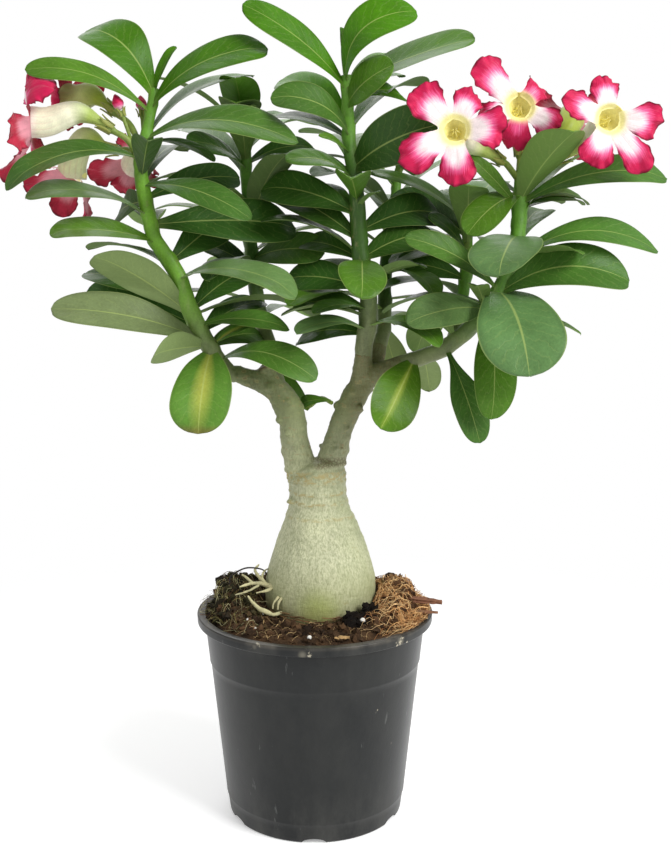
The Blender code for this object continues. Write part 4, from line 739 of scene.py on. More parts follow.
# foot height on the stem, tip, width, the way the upper face looks, arch, fold in degrees and green
frontLeaves = {
    ("shoot_left", 0): (
        (448, (-136, -12, 482), 26, (0.45, -0.8, 0.4), 0.2, 6, "fresh"),
        (438, (-174, -32, 459), 25, (0, -0.65, 0.75), 0.17, 8, "bright"),
        (446, (-80, -16, 476), 10, (-0.8, -0.6, 0.2), 0.06, 20, "fresh"),
        (441, (-25, -28, 474), 26, (-0.3, -0.7, 0.6), 0.2, 8, "fresh"),
        (422, (-8, -40, 419), 25, (0, -0.65, 0.75), 0.21, 12, "mid"),
        (411, (-172, -58, 393), 27, (0, -0.65, 0.75), 0.17, 12, "mid"),
        (378, (-162, -52, 389), 25, (0, -0.6, 0.8), 0.12, 8, "lit"),
        (387, (-124, 22, 376), 28, (0, -0.9, 0.4), 0.1, 6, "deep"),
        (363, (-151, -45, 369), 24, (0, -0.5, 0.85), 0.14, 10, "bright"),
        (319, (-124, -52, 356), 29, (0.2, 0.95, 0.3), 0.08, 8, "pale"),
        (329, (-144, 8, 342), 26, (0, -0.75, 0.65), 0.12, 8, "mid"),
        (400, (-89, -66, 420), 20, (0, 0.3, 1), 0.05, 32, "deep"),
        (396, (-34, -54, 376), 20, (0.1, -0.8, 0.7), 0.12, 6, "mid"),
        (421, (-57, -24, 410), 11, (0, -0.4, 1), 0.12, 8, "mid"),
        (341, (-8, -62, 339), 27, (0.1, -0.55, 0.85), 0.15, 10, "lit"),
        (303, (-152, -42, 325), 30, (0, -0.75, 0.65), 0.11, 12, "pale"),
        (301, (-92, -50, 294), 24, (0, 0.9, 0.5), 0.06, 8, "pale"),
        (298, (-66, -46, 252), 33, (-0.1, -1, 0.3), 0.12, 10, "yellow"),
        (291, (2, -38, 283), 22, (0.1, -0.6, 0.8), 0.2, 8, "mid"),
        (313, (-14, -22, 312), 18, (0, -0.6, 0.8), 0.12, 8, "mid"),
        (299, (-37, -12, 314), 10, (0, -0.5, 0.8), 0.1, 12, "yellow"),
        (388, (-46, 12, 402), 22, (0, -0.8, 0.6), 0.12, 6, "deep"),
        (373, (-12, 10, 392), 32, (0, -0.9, 0.4), 0.08, 8, "deep"),
        (351, (-52, 22, 380), 26, (0.2, -0.9, 0.4), 0.1, 8, "deep"),
    ),
    ("shoot_left_back", 0): (
        (433, (-45, -14, 444), 28, (0, -0.3, 1), 0.06, 22, "bright"),
        (432, (-16, 64, 446), 20, (0, -0.4, 1), 0.12, 8, "mid"),
        (412, (0, 58, 424), 20, (0, -0.5, 0.9), 0.12, 8, "deep"),
        (409, (-78, 10, 424), 22, (0, -0.6, 0.8), 0.12, 8, "mid"),
        (352, (6, 0, 358), 26, (0, -0.8, 0.6), 0.1, 8, "mid"),
    ),
    ("shoot_centre", 0): (
        (457, (61, -26, 492), 27, (-0.6, -0.8, 0.35), 0.22, 8, "fresh"),
        (452, (-42, -32, 494), 25, (0.4, -0.65, 0.65), 0.1, 8, "fresh"),
        (457, (15, -10, 488), 8, (0.5, -0.8, 0.2), 0.05, 20, "fresh"),
        (453, (92, -36, 477), 24, (-0.15, -0.6, 0.8), 0.1, 10, "bright"),
        (452, (50, 14, 476), 16, (-0.3, -0.6, 0.8), 0.12, 10, "bright"),
        (447, (54, 26, 466), 20, (-0.2, -0.6, 0.8), 0.12, 8, "mid"),
        (443, (47, -40, 458), 24, (-0.3, -0.9, 0.4), 0.12, 8, "bright"),
        (406, (68, -46, 429), 34, (-0.35, -0.9, 0.3), 0.14, 12, "deep"),
        (425, (-24, -38, 445), 24, (0.25, -0.75, 0.6), 0.2, 8, "mid"),
        (434, (-22, 24, 461), 26, (0.3, -0.8, 0.5), 0.14, 8, "fresh"),
        (423, (-33, 20, 437), 20, (0, -0.5, 0.9), 0.12, 8, "deep"),
        (413, (4, -34, 424), 8, (0.3, -0.5, 0.8), 0.08, 12, "bright"),
        (398, (-15, -47, 409), 21, (0.1, -0.6, 0.8), 0.14, 8, "mid"),
        (402, (-9, -18, 414), 12, (0, -0.6, 0.8), 0.1, 8, "mid"),
        (379, (-34, 6, 389), 26, (0, -0.75, 0.65), 0.12, 8, "deep"),
        (364, (-32, 12, 374), 26, (0, -0.75, 0.65), 0.1, 8, "deep"),
        (387, (21, -74, 399), 23, (0, 0.3, 1), 0.04, 30, "bright"),
        (382, (38, -34, 392), 10, (0, -0.4, 0.9), 0.08, 12, "mid"),
        (404, (60, -24, 402), 11, (0, -0.4, 1), 0.24, 8, "mid"),
        (352, (28, -72, 334), 28, (0, -0.3, 1), 0.08, 10, "bright"),
        (310, (-10, -42, 311), 22, (0, -0.4, 1), 0.12, 14, "lit"),
        (322, (0, -38, 322), 16, (0, -0.4, 1), 0.12, 10, "mid"),
        (312, (75, -46, 305), 24, (0, -0.35, 1), 0.16, 10, "bright"),
        (331, (4, 22, 352), 24, (0, -0.6, 0.8), 0.1, 8, "deep"),
        (318, (-20, -14, 320), 26, (0, 0.2, 1), 0.1, 8, "pale"),
        (337, (66, -34, 350), 20, (0, 0.2, 1), 0.12, 8, "mid"),
        (369, (78, 16, 380), 28, (0, -0.75, 0.65), 0.14, 8, "deep"),
        (353, (77, -4, 367), 28, (0, -0.75, 0.65), 0.16, 8, "deep"),
    ),
    ("shoot_centre_back", 0): (
        (311, (56, 30, 272), 20, (-0.2, 0.8, 0.4), 0.08, 8, "pale"),
    ),
    ("shoot_right", 0): (
        (386, (136, -64, 430), 30, (-0.1, 0.7, 0.7), 0.05, 20, "bright"),
        (385, (206, -32, 401), 22, (0, -0.25, 1), 0.13, 14, "mid"),
        (384, (170, 12, 387), 15, (0, -0.4, 1), 0.14, 8, "mid"),
        (381, (152, 10, 391), 14, (0, -0.4, 1), 0.1, 8, "deep"),
        (383, (93, -30, 416), 10, (-0.6, -0.5, 0.6), 0.08, 14, "bright"),
        (391, (92, 26, 400), 14, (0, -0.4, 1), 0.1, 8, "mid"),
        (391, (86, -38, 376), 23, (-0.2, -0.7, 0.7), 0.14, 8, "bright"),
        (366, (101, -84, 347), 38, (0, -0.4, 0.9), 0.08, 8, "lit"),
        (334, (53, -42, 366), 20, (0.3, -0.7, 0.7), 0.1, 8, "mid"),
        (352, (200, -32, 357), 26, (0, -0.6, 0.8), 0.2, 10, "mid"),
        (350, (153, -52, 363), 18, (0, 0.4, 0.9), 0.08, 10, "bright"),
        (331, (182, -42, 345), 31, (-0.2, -0.7, 0.7), 0.17, 12, "mid"),
        (334, (116, -78, 291), 44, (0, -0.85, 0.5), 0.14, 8, "lit"),
        (326, (104, -52, 261), 23, (0.1, -1, 0.2), 0.12, 8, "bright"),
        (300, (94, -38, 248), 22, (0.1, -1, 0.3), 0.14, 8, "mid"),
        (323, (54, -54, 318), 26, (0, -0.85, 0.5), 0.12, 8, "lit"),
        (292, (38, -46, 255), 28, (0.1, -1, 0.3), 0.1, 8, "lime"),
        (294, (74, 26, 268), 18, (0, 0.5, 0.7), 0.1, 8, "pale"),
        (305, (60, -36, 318), 14, (0, 0.2, 1), 0.1, 8, "mid"),
        (323, (92, -62, 340), 13, (0, 0.4, 0.9), 0.06, 16, "bright"),
    ),
    ("shoot_right", 1): (
        (374, (32, 0, 398), 25, (0, -0.5, 0.8), 0.1, 8, "mid"),
        (366, (48, 38, 393), 26, (0, -0.5, 0.8), 0.1, 8, "deep"),
        (372, (84, 62, 398), 18, (0, -0.5, 0.8), 0.1, 8, "deep"),
        (358, (46, 14, 350), 24, (0, -0.5, 0.8), 0.12, 8, "mid"),
    ),
}
# small departures of single leaves from their row: bow of the middle and shift of the tip in mm, gain in width,
# a new face, how much slimmer the foot is, how pale the underside is and how light the leaf is (shade: painted light
# above 1, painted shade below 1)
leafTouches = {
    1: {"bow": (2, 0, 2.5), "tip": (3, 0, 4.5), "wide": 1.36, "shade": 0.82},
    2: {"bow": (0, 0, -2), "tip": (10, 0, 0), "wide": 0.74}, 4: {"bow": (0, 0, -4), "wide": 1.1, "shade": 0.88},
    5: {"bow": (0, 0, -4), "wide": 1.2}, 7: {"face": (0, -0.32, 1), "wide": 1, "slim": 0.8},
    9: {"bow": (0, 0, -4), "wide": 1.2}, 11: {"wide": 0.85, "bow": (0, 0, -3), "tip": (0, 0, -5)},
    12: {"under": 0.2, "shade": 0.85}, 15: {"bow": (0, 0, -2), "tip": (0, 0, -4), "wide": 1.15},
    16: {"bow": (0, 0, -1), "shade": 0.86}, 17: {"tip": (0, 0, 5)}, 18: {"wide": 1.12, "tip": (-1.5, 0, 0)},
    30: {"bow": (-5, 0, 3), "tip": (-1.5, 0, 2), "wide": 1.08},
    31: {"bow": (2, 0, -3), "tip": (2.5, 0, 2.5), "wide": 1}, 32: {"tip": (2, 0, 0)},
    33: {"bow": (0, 0, -4.5), "wide": 1.6}, 36: {"wide": 1.15}, 39: {"under": 0.3, "shade": 1.35}, 46: {"under": 0.2},
    59: {"tip": (6, 0, -2)}, 60: {"bow": (0, 0, 2), "face": (0, -0.75, 0.65), "wide": 1.08, "shade": 1.2},
    66: {"wide": 1.08}, 68: {"bow": (0, 0, 1.5), "tip": (2, 0, 1), "wide": 0.95, "shade": 1.25},
    70: {"bow": (0, 0, 7), "tip": (0, 0, 4), "face": (-0.2, -0.85, 0.5), "wide": 1.06, "shade": 1.2},
    71: {"tip": (4.5, 0, -1), "bow": (2, 0, 0), "wide": 1.1}, 72: {"wide": 1.1},
    73: {"tip": (5, 0, -3), "wide": 1, "slim": 2.4}, 75: {"tip": (2, 0, 0), "wide": 1.05},
    87: {"under": 0.3, "shade": 0.85}, 136: {"under": 0.6, "shade": 1.7},
}
lowLeaf = {
    "large": ((-4, 16, 257.5), (-34, 22, 281), 21, (0.4, -0.7, 0.5), 0.06, 10),
    "small": ((10, -1, 265.5), (-10, 17, 256), 11, (0, -0.8, 0.6), 0.24, 12), "green": "bright",
    "stalk": ((10.8, -1.6, 264.2, 1.3), (4, 8, 266, 1.3), (-3, 15, 260, 1.3), (-7, 17, 259, 1.2)),
}

# leaves that the front view hides: lowest and highest foot, count, first heading and sweep
farLeaves = {
    ("shoot_left", 0): (306, 436, 5, 20, 180),
    ("shoot_left_back", 0): (312, 432, 15, 60, 360),
    ("shoot_centre", 0): (318, 440, 5, 40, 180),
    ("shoot_centre_back", 0): (308, 408, 13, 80, 360),
    ("shoot_right", 0): (300, 384, 5, 10, 180),
    ("shoot_right", 1): (318, 374, 6, 100, 360),
}
# leaves inside the crown, where no solid stands out: as the front leaves
innerLeaves = {
    ("shoot_left", 0): (
        (322, (-39, 25, 346), 24, (0, -0.7, 0.7), 0.1, 8, "deep"),
        (309, (-33, 20, 326), 22, (0, -0.7, 0.7), 0.12, 8, "deep"),
        (300, (-32, 12, 305), 22, (0, -0.5, 0.8), 0.12, 8, "mid"),
        (312, (-143, 10, 333), 24, (0, -0.8, 0.6), 0.1, 8, "deep"),
    ),
    ("shoot_left_back", 0): (
        (430, (-46, -8, 459), 27, (0, -0.35, 1), 0.06, 22, "fresh"),
        (344, (-70, 12, 362), 24, (0, -0.7, 0.7), 0.1, 8, "deep"),
    ),
    ("shoot_centre", 0): (
        (335, (-17, 5, 341), 24, (0, -0.7, 0.7), 0.1, 8, "deep"),
        (322, (-13, 0, 324), 22, (0, -0.6, 0.8), 0.12, 8, "mid"),
        (308, (-12, 10, 302), 24, (0, -0.6, 0.8), 0.12, 8, "deep"),
        (352, (-8, 12, 363), 20, (0, -0.6, 0.8), 0.1, 8, "deep"),
        (446, (56, 20, 451), 22, (-0.2, -0.7, 0.7), 0.12, 8, "fresh"),
    ),
    ("shoot_right", 0): (
        (384, (164, 0, 387), 18, (0, -0.5, 0.8), 0.12, 8, "mid"),
    ),
    ("shoot_right", 1): (
        (340, (50, 10, 350), 22, (0, -0.7, 0.7), 0.1, 8, "deep"),
        (352, (70, -6, 379), 20, (0, -0.7, 0.7), 0.1, 8, "deep"),
    ),
}
leafShape = {
    "goldenAngle": 137.5, "farLengths": (64, 76, 70, 82), "farWidths": (23, 26, 24, 27), "farLift": (-4, 38),
    "farArch": 0.12, "farFold": 10, "swings": (0, 6, -6, 12, -12, 18, -18, 26, -26), "broadest": 0.66, "stalk": 0.14,
    "tip": 0.16, "wave": 0.01, "waves": 9, "twist": 14, "sharpness": (2, 1.8, 0.8), "thickness": 0.34,
    "rows": 30, "columns": 15, "even": 0.35, "ribGroove": 0.3, "ribBelow": 0.75, "blunt": 2.5, "wideFrom": 27,
    "closeEnough": 0.1, "farthest": 0.6,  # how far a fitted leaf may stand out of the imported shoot
    "uneven": 0.035, "pucker": 0.32, "puckers": 5.2, "curl": 0.035, "droop": 0.035, "petiole": 0.85,
    "uneasyLight": 0.12, "uneasyWarmth": 0.06, "brown": paint(112, 80, 44),
}


def bladeGrid(shape):
    # u from foot to tip and v from edge to edge, closer together at the tip and the edges
    even = shape["even"] * np.linspace(0, 1, shape["rows"])
    u = even + (1 - shape["even"]) * np.sin(np.linspace(0, pi / 2, shape["rows"]))
    return np.meshgrid(u, np.sin(np.linspace(-pi / 2, pi / 2, shape["columns"])), indexing="ij")


def bladeOutline(u, foot, sharpness, shape):
    # share of the full width: narrow foot, broadest past the middle, round tip; and how far u is beyond the broadest
    u, broadest, tip = np.asarray(u, float), shape["broadest"], shape["tip"]
    near = foot + (1 - foot) * np.sin(pi / 2 * np.minimum(u, broadest) / broadest) ** sharpness
    beyond = np.clip((u - broadest) / (1 - broadest), 0, 1)
    return np.where(u < broadest, near, tip + (1 - tip) * np.sqrt(1 - beyond ** 2)), beyond


def twoSided(middle, above, below, uu, vv):
    # closed rings of an upper and a lower face, what of them is underside, and their map
    points = np.concatenate([middle + above, (middle - below)[:, ::-1]], axis=1)
    under = np.concatenate([np.zeros_like(uu), np.ones_like(uu)], axis=1)
    across = np.concatenate([vv, vv[:, ::-1], vv[:, :1]], axis=1) * 0.5 + 0.5
    return points, under, np.stack([np.concatenate([uu, uu, uu[:, :1]], axis=1), across], -1)


def squareTo(chord, face):
    face = vec(face)
    return unit(face - chord * float(chord @ face))


def layLeaf(number, foot, tip, width, face, arch, fold):
    length = float(np.linalg.norm(tip - foot))
    chord = (tip - foot) / length
    up = squareTo(chord, face)
    most, loss, least = leafShape["sharpness"]
    return {
        "foot": foot, "length": length, "chord": chord, "up": up, "side": np.cross(chord, up), "half": width / 2,
        "arch": arch, "fold": radians(fold), "phase": 1.7 * number, "number": number,
        "twist": radians(leafShape["twist"]) * sin(2.4 * number),
        "sharpness": max(least, most - loss * width / length),
    }


def bladeSurface(leaf, u, v, outline, spine):
    # middle surface and normal over arrays of u (foot to tip) and v (edge to edge); spine softens the fold
    u, v = vec(u)[..., None], vec(v)[..., None]
    slope = leaf["arch"] * 4 * (1 - 2 * u)
    level = np.cross(leaf["side"], unit(leaf["chord"] + leaf["up"] * slope))
    turn = leaf["twist"] * u
    across = leaf["side"] * np.cos(turn) - level * np.sin(turn)
    normal = level * np.cos(turn) + leaf["side"] * np.sin(turn)
    half = leaf["half"] * outline[..., None]
    wave = leafShape["wave"] * leaf["length"] * np.sin(leafShape["waves"] * u + leaf["phase"] + 2 * (v > 0)) * v * v * u
    length, arch = leaf["length"], leaf["arch"]
    middle = leaf["foot"] + leaf["chord"] * length * u + leaf["up"] * arch * length * 4 * u * (1 - u)
    raised = (np.sqrt(v * v + spine * spine) - spine) * half * sin(leaf["fold"])
    return middle + across * (v * half * cos(leaf["fold"])) + normal * (raised + wave), normal


def stemPoint(stations, height):
    for (x0, y0, z0, _), (x1, y1, z1, _) in zip(stations, stations[1:]):
        if z0 <= height <= z1:
            share = (height - z0) / (z1 - z0)
            return np.array((x0 + (x1 - x0) * share, y0 + (y1 - y0) * share, height))
    return vec(stations[-1][:3])


def turnAbout(vector, degrees, axis):
    return np.array(Matrix.Rotation(radians(degrees), 3, Vector(axis)) @ Vector(vector))


def fitLeaf(tree, number, foot, tip, width, *rest):
    # the leaf as given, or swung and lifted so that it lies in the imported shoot
    reach = tip - foot
    level = unit(np.array((reach[1], -reach[0], 0)))
    swings = leafShape["swings"]
    turns = sorted(((a, b) for a in swings for b in swings), key=lambda pair: abs(pair[0]) + abs(pair[1]))
    stations = (0.75, 1) if width < leafShape["wideFrom"] else (0.62, 0.86, 1)
    u, v = np.repeat(stations, 2), np.tile((-1, 1), len(stations))
    best, bestGap = None, 1e9
    for swing, lift in turns:
        turned = turnAbout(turnAbout(reach, lift, level), swing, (0, 0, 1))
        leaf = layLeaf(number, foot, foot + turned, width, *rest)
        outline = bladeOutline(u, leafShape["stalk"], leaf["sharpness"], leafShape)[0]
        gap = max(tree.find_nearest(Vector(p * mm))[3] / mm for p in bladeSurface(leaf, u, v, outline, 0)[0])
        if gap < bestGap:
            best, bestGap = leaf, gap
        if bestGap < leafShape["closeEnough"]:
            break
    return best, bestGap


def addLeaf(shape, leaf, green, dice, shade=1):
    touch = leafTouches.get(leaf["number"], {})
    leaf = dict(leaf, half=leaf["half"] * touch.get("wide", 1), sharpness=leaf["sharpness"] * touch.get("slim", 1))
    if "face" in touch:
        leaf["up"] = squareTo(leaf["chord"], touch["face"])
        leaf["side"] = np.cross(leaf["chord"], leaf["up"])
    half, phase = leaf["half"], leaf["phase"]
    uu, vv = bladeGrid(leafShape)
    near, beyond = bladeOutline(uu, leafShape["stalk"], leaf["sharpness"], leafShape)
    rounded = np.sqrt(np.clip(1 - beyond ** leafShape["blunt"], 0.0004, 1))
    outline = np.where(uu < leafShape["broadest"], near, rounded)
    # each side of the blade is a little uneven
    lumpy = 1 + leafShape["uneven"] * np.sin(7 * uu + phase + 1.9 * (vv > 0)) * smoothStep(0.1, 0.4, uu)
    middle, normal = bladeSurface(leaf, uu, vv, outline * lumpy, 0.14)
    away = np.abs(vv)
    # slow puckers between the veins, a curl at the edge and a bent tip
    puckers = leafShape["pucker"] * np.sin(2 * pi * (leafShape["puckers"] * uu - 1.2 * away) + phase)
    puckers = puckers * away * (1 - away) * 2.2 * smoothStep(0.08, 0.3, uu)
    curl = -leafShape["curl"] * half * away ** 5 * smoothStep(0.2, 0.6, uu) * (1 + sin(phase * 2.3))
    droop = -leafShape["droop"] * leaf["length"] * smoothStep(0.78, 1, uu) ** 2 * (0.5 + 0.5 * sin(phase * 1.3))
    bow = vec(touch.get("bow", (0, 0, 0))) * (4 * uu * (1 - uu))[..., None]
    reach = vec(touch.get("tip", (0, 0, 0))) * (uu ** 1.5)[..., None]
    middle = middle + normal * (puckers + curl + droop)[..., None] + bow + reach
    body = leafShape["thickness"] + leafShape["petiole"] * np.exp(-(uu / 0.09) ** 2)
    margin = np.sqrt(np.clip(1 - away ** 6, 0.06, 1)) * body / 2
    rib = np.exp(-(vv * outline * half / (0.55 + 0.5 * (1 - uu))) ** 2) * (1 - 0.75 * uu)
    groove = leafShape["ribGroove"] * rib * smoothStep(0.03, 0.15, uu)
    ridge = leafShape["ribBelow"] * rib * smoothStep(0.02, 0.1, uu)
    above, below = normal * (margin - groove)[..., None], normal * (margin + ridge)[..., None]
    points, under, growth = twoSided(middle, above, below, uu, vv)
    # painted light and shade: the leaf's green is scaled by its shoot's gain, by its own gain and by a random amount
    light = shade * touch.get("shade", 1) * (1 + dice.uniform(-leafShape["uneasyLight"], leafShape["uneasyLight"]))
    warm = dice.uniform(-leafShape["uneasyWarmth"], leafShape["uneasyWarmth"])
    tint = np.broadcast_to(np.array(leafGreens[green]) * light * np.array((1 + warm, 1, 1 - warm)), points.shape)
    if green in yellowRibs:
        ribColour, reach, browned = yellowRibs[green]
        fromRib = np.concatenate([away, away[:, ::-1]], axis=1)[..., None]
        fromFoot = np.concatenate([uu, uu[:, ::-1]], axis=1)[..., None]
        tint = blend(tint, ribColour, (1 - smoothStep(0.05, reach, fromRib)) * (1 - 0.7 * smoothStep(0.5, 1, fromFoot)))
        tint = blend(tint, leafShape["brown"], smoothStep(0.9, 0.99, fromFoot) * browned)
    shape.addTube(points, tint, under * touch.get("under", 1), 0, growth)


stemLook = {
    "old": paint(112, 120, 80),
    # the young green of each shoot's stem; the centre shoot's is darker, as painted shade
    "young": {
        "shoot_left": paint(112, 164, 44), "shoot_left_back": paint(66, 108, 36), "shoot_centre": paint(52, 88, 18),
        "shoot_centre_back": paint(64, 104, 34), "shoot_right": paint(78, 122, 36),
    },
    "top": paint(98, 150, 44), "topReach": (60, 35),  # the greener top: where it starts and is full, below the end
    "sides": 20, "step": 2.6, "scarEvery": 9, "rootedBy": 3,
}


def addStem(shape, stations, feet, seed, young):
    path = curvePath(stations, stemLook["step"])
    path[0, :3] -= unit(path[1, :3] - path[0, :3]) * stemLook["rootedBy"]
    path[0, 3] *= 0.96
    points = ringsAlong(path, stemLook["sides"])
    outward = unit(points - path[:, None, :3])
    height = points[..., 2]
    low, top = stations[0][2], stations[-1][2]
    dice = random.Random(seed)
    # swellings under the leaves, then crescent scars of leaves that have gone
    push = np.zeros(points.shape[:2])
    for foot, away in feet:
        distance = np.linalg.norm(points - (foot + unit(away) * 4), axis=-1)
        push += 0.9 * np.exp(-(distance / 3) ** 2)
    spot = low + 4
    turn = dice.uniform(0, 6.28)
    while spot < top - 14:
        turn += 2.4
        on = stemPoint(stations, spot) + np.array((cos(turn), sin(turn), 0)) * 4.8
        distance = np.linalg.norm(points - on, axis=-1)
        push += 0.5 * np.exp(-((distance - 1.9) / 0.8) ** 2) - 0.35 * np.exp(-(distance / 1.2) ** 2)
        spot += stemLook["scarEvery"] * dice.uniform(0.5, 1.2)
    push += [[0.28 * bumpAt(p, 5, seed) for p in ring] for ring in points]
    points = points + outward * push[..., None]
    # the stem turns from old to its young green, which is darker on the centre shoot as painted shade
    tint = blend(stemLook["old"], young, smoothStep(low - 2, low + 0.4 * (top - low), height)[..., None])
    fromTop, toTop = stemLook["topReach"]
    tint = blend(tint, stemLook["top"], 0.85 * smoothStep(top - fromTop, top - toTop, height)[..., None])
    shape.addTube(points, tint, 0, 1)


smallPetals = ((72, 21, 19, -130), (144, 21, 19, -110), (216, 14, 14, -20), (288, 14, 15, -60), (0, 19, 18, -125))
blooms = {
    "bloom_right_front": {
        "stalk": ((122, -15, 399), (114, -20, 408), (108, -24, 411)),
        "throat": (80, -50, 425), "facing": (-0.15, -0.95, 0.12),
        "petals": ((136, 27, 22, -5), (66, 19, 18, -55), (0, 23, 23, -35), (274, 26, 21, -30), (212, 30, 23, -25)),
    },
    "bloom_right_middle": {
        "stalk": ((122, -14, 402), (123, -10, 411), (123, -9, 417)),
        "throat": (118, -38, 439), "facing": (0.02, -0.93, 0.25),
        "petals": ((138, 30, 22, 0), (46, 18, 17, -105), (-32, 21, 19, -50), (262, 23, 20, -120), (197, 21, 18, -60)),
    },
    "bloom_right_end": {
        "stalk": ((122, -14, 400), (134, -16, 406), (145, -19, 412)),
        "throat": (167, -48, 431), "facing": (0.1, -0.96, 0.05),
        "petals": ((162, 27, 16, 5), (102, 18, 18, -30), (-4, 24, 21, -25), (303, 31, 17, -15), (246, 23, 21, -25)),
    },
    "bloom_right_back": {
        "stalk": ((122, -13, 403), (134, -4, 413), (143, 0, 420)),
        "throat": (158, 20, 438), "facing": (0.3, 0.88, 0.3), "olive": 1,
        "petals": ((90, 16, 19, 40), (162, 20, 21, 15), (234, 26, 23, -30), (306, 25, 24, -15), (18, 23, 23, 0)),
    },
    "bloom_left_front": {
        "stalk": ((-101, -20, 408), (-107, -26, 421), (-119, -28, 429)),
        "throat": (-161, -34, 431), "facing": (-0.98, -0.18, -0.03),
        "petals": ((52, 31, 24, -128), (112, 25, 19, -40), (226, 27, 21, -80), (276, 33, 22, 32), (340, 25, 21, 15)),
    },
    "bloom_left_back": {
        "stalk": ((-100, -19, 414), (-108, -12, 431), (-120, -7, 441)),
        "throat": (-150, 14, 450), "facing": (-0.8, 0.55, 0.1), "olive": 0.8, "petals": smallPetals,
    },
    "bloom_left_hanging": {
        "stalk": ((-101, -19, 409), (-110, -8, 417), (-120, -3, 418)),
        "throat": (-148, 6, 402), "facing": (-0.68, 0.12, -0.72), "olive": 0.45, "rise": ((-3, 0, 8), (-3, 0, 5)),
        "petals": ((90, 28, 22, 20), (162, 26, 22, 30), (250, 29, 21, 52), (325, 26, 17, 58), (18, 28, 19, 60)),
    },
    "bloom_left_under": {
        "stalk": ((-101, -19, 410), (-104, 0, 419), (-106, 12, 421)),
        "throat": (-115, 40, 412), "facing": (-0.3, 0.85, -0.4),
        "petals": ((90, 20, 20, 20), (162, 14, 16, 70), (234, 14, 16, 75), (300, 16, 17, 60), (-8, 25, 20, 0)),
    },
}
buds = {
    "bud_left_1": ((-104, -23, 415), (-107, -26, 426), (-111, -27, 438)),
    "bud_left_2": ((-99, -18, 420), (-101, -11, 430), (-102, -8, 440)),
}
stalkShape = {
    "flower": (1.9, 3.4), "bud": (1.1, 1.9),  # radius of the stalk and of the calyx
    "sepalLength": 9.5, "sepalWidth": 3.1, "green": paint(128, 150, 66), "sepal": paint(142, 148, 70),
}


def addStalk(shape, points, seed, radius, calyx):
    rows = [vec(point) for point in points]
    leaving = unit(rows[-1] - rows[-2])
    stations = [(*row, radius) for row in rows[:-1]]
    ends = (5, radius), (2.4, calyx * 0.92), (0, calyx * 0.86)
    stations += [(*(rows[-1] - leaving * back), wide) for back, wide in ends]
    shape.addCurve(stations, 1.6, 16, stalkShape["green"], 1)
    # five pointed sepals lie along the tube
    across, over = ringAxes(np.array([rows[-1] - leaving, rows[-1]]))
    full = calyx / stalkShape["flower"][1]
    u, v = np.linspace(0, 1, 9)[:, None], np.linspace(-1, 1, 5)[None]
    for k in range(5):
        angle = 2 * pi * k / 5 + seed
        out = across[1] * cos(angle) + over[1] * sin(angle)
        side = np.cross(leaving, out)
        width = full * stalkShape["sepalWidth"] / 2 * (np.sin(pi * (0.22 + 0.76 * u)) + 0.04)
        length = full * stalkShape["sepalLength"]
        lift = calyx * 0.86 + 0.5 + 1.6 * u ** 2.2 * (1 + 0.5 * sin(seed + 2.1 * k))
        middle = rows[-1] - leaving * 3.5 + leaving * (u * length)[..., None] + out * (lift - 0.35 * v * v)[..., None]
        middle = middle + side * (v * width)[..., None]
        thick = out * (0.34 * np.sqrt(np.clip(1 - v ** 4, 0.1, 1)) * np.ones_like(u))[..., None]
        ring = np.concatenate([middle + thick, (middle - thick)[:, ::-1]], axis=1)
        shape.addTube(ring, stalkShape["sepal"], 0, 1)


def leafRows():
    # shoot and stem, the row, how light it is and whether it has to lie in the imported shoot
    rows = [(key, row, leafShade.get(key[0], 1), True) for key, group in frontLeaves.items() for row in group]
    liftLow, liftRise = leafShape["farLift"]
    for key, (low, high, count, heading, sweep) in farLeaves.items():
        for k in range(count):
            number, share = len(rows) + 1, (k + 0.5) / count
            height = low + (high - low) * share
            angle = radians((heading + k * leafShape["goldenAngle"]) % sweep)
            lift = radians(liftLow + liftRise * share)
            away = np.array((cos(angle) * cos(lift), sin(angle) * cos(lift), sin(lift)))
            tip = stemPoint(shoots[key[0]][key[1]], height) + away * leafShape["farLengths"][number % 4]
            green = "fresh" if share > 0.85 else ("mid", "bright", "deep")[number % 3]
            width = leafShape["farWidths"][number % 4]
            row = height, tip, width, (0, 0, 1), leafShape["farArch"], leafShape["farFold"], green
            rows.append((key, row, 1, True))
    return rows + [(key, row, 1, False) for key, group in innerLeaves.items() for row in group]


def makeShoots():
    shapes = {name: Gathered() for name in shoots}
    trees, feet, gaps, skipped = {}, {}, [], []
    for name in shoots:
        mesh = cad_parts[name].data
        faces = [tuple(face.vertices) for face in mesh.polygons]
        trees[name] = BVHTree.FromPolygons([v.co for v in mesh.vertices], faces)
    dice = random.Random(11)
    for number, (key, row, shade, fitted) in enumerate(leafRows(), 1):
        height, tip, width, face, arch, fold, green = row
        foot = stemPoint(shoots[key[0]][key[1]], height)
        given = number, foot, vec(tip), width, face, arch, fold
        leaf, gap = fitLeaf(trees[key[0]], *given) if fitted else (layLeaf(*given), 0)
        if gap >= leafShape["farthest"]:
            skipped.append((round(gap, 2), number, key[0]))
            continue
        gaps.append(gap)
        addLeaf(shapes[key[0]], leaf, green, dice, shade)
        feet.setdefault(key, []).append((foot, leaf["chord"]))
    seed = 0
    for name, stems in shoots.items():
        for stem, stations in enumerate(stems):
            seed += 1
            addStem(shapes[name], stations, feet.get((name, stem), []), seed, stemLook["young"][name])
    for k, (name, bloom) in enumerate(blooms.items()):  # bloom_left_front grows from shoot_left
        addStalk(shapes["shoot_" + name.split("_")[1]], bloom["stalk"], 0.9 * k, *stalkShape["flower"])
    for k, points in enumerate(buds.values()):
        addStalk(shapes["shoot_left"], points, 1.3 * k, *stalkShape["bud"])
    for name, shape in shapes.items():
        settle(shape.build(pieceName(name), [leafSkin, stemSkin]), "leaf_green", name)
    print("leaves: %d laid, widest gap %.2f mm, skipped %s" % (len(gaps), max(gaps), skipped))


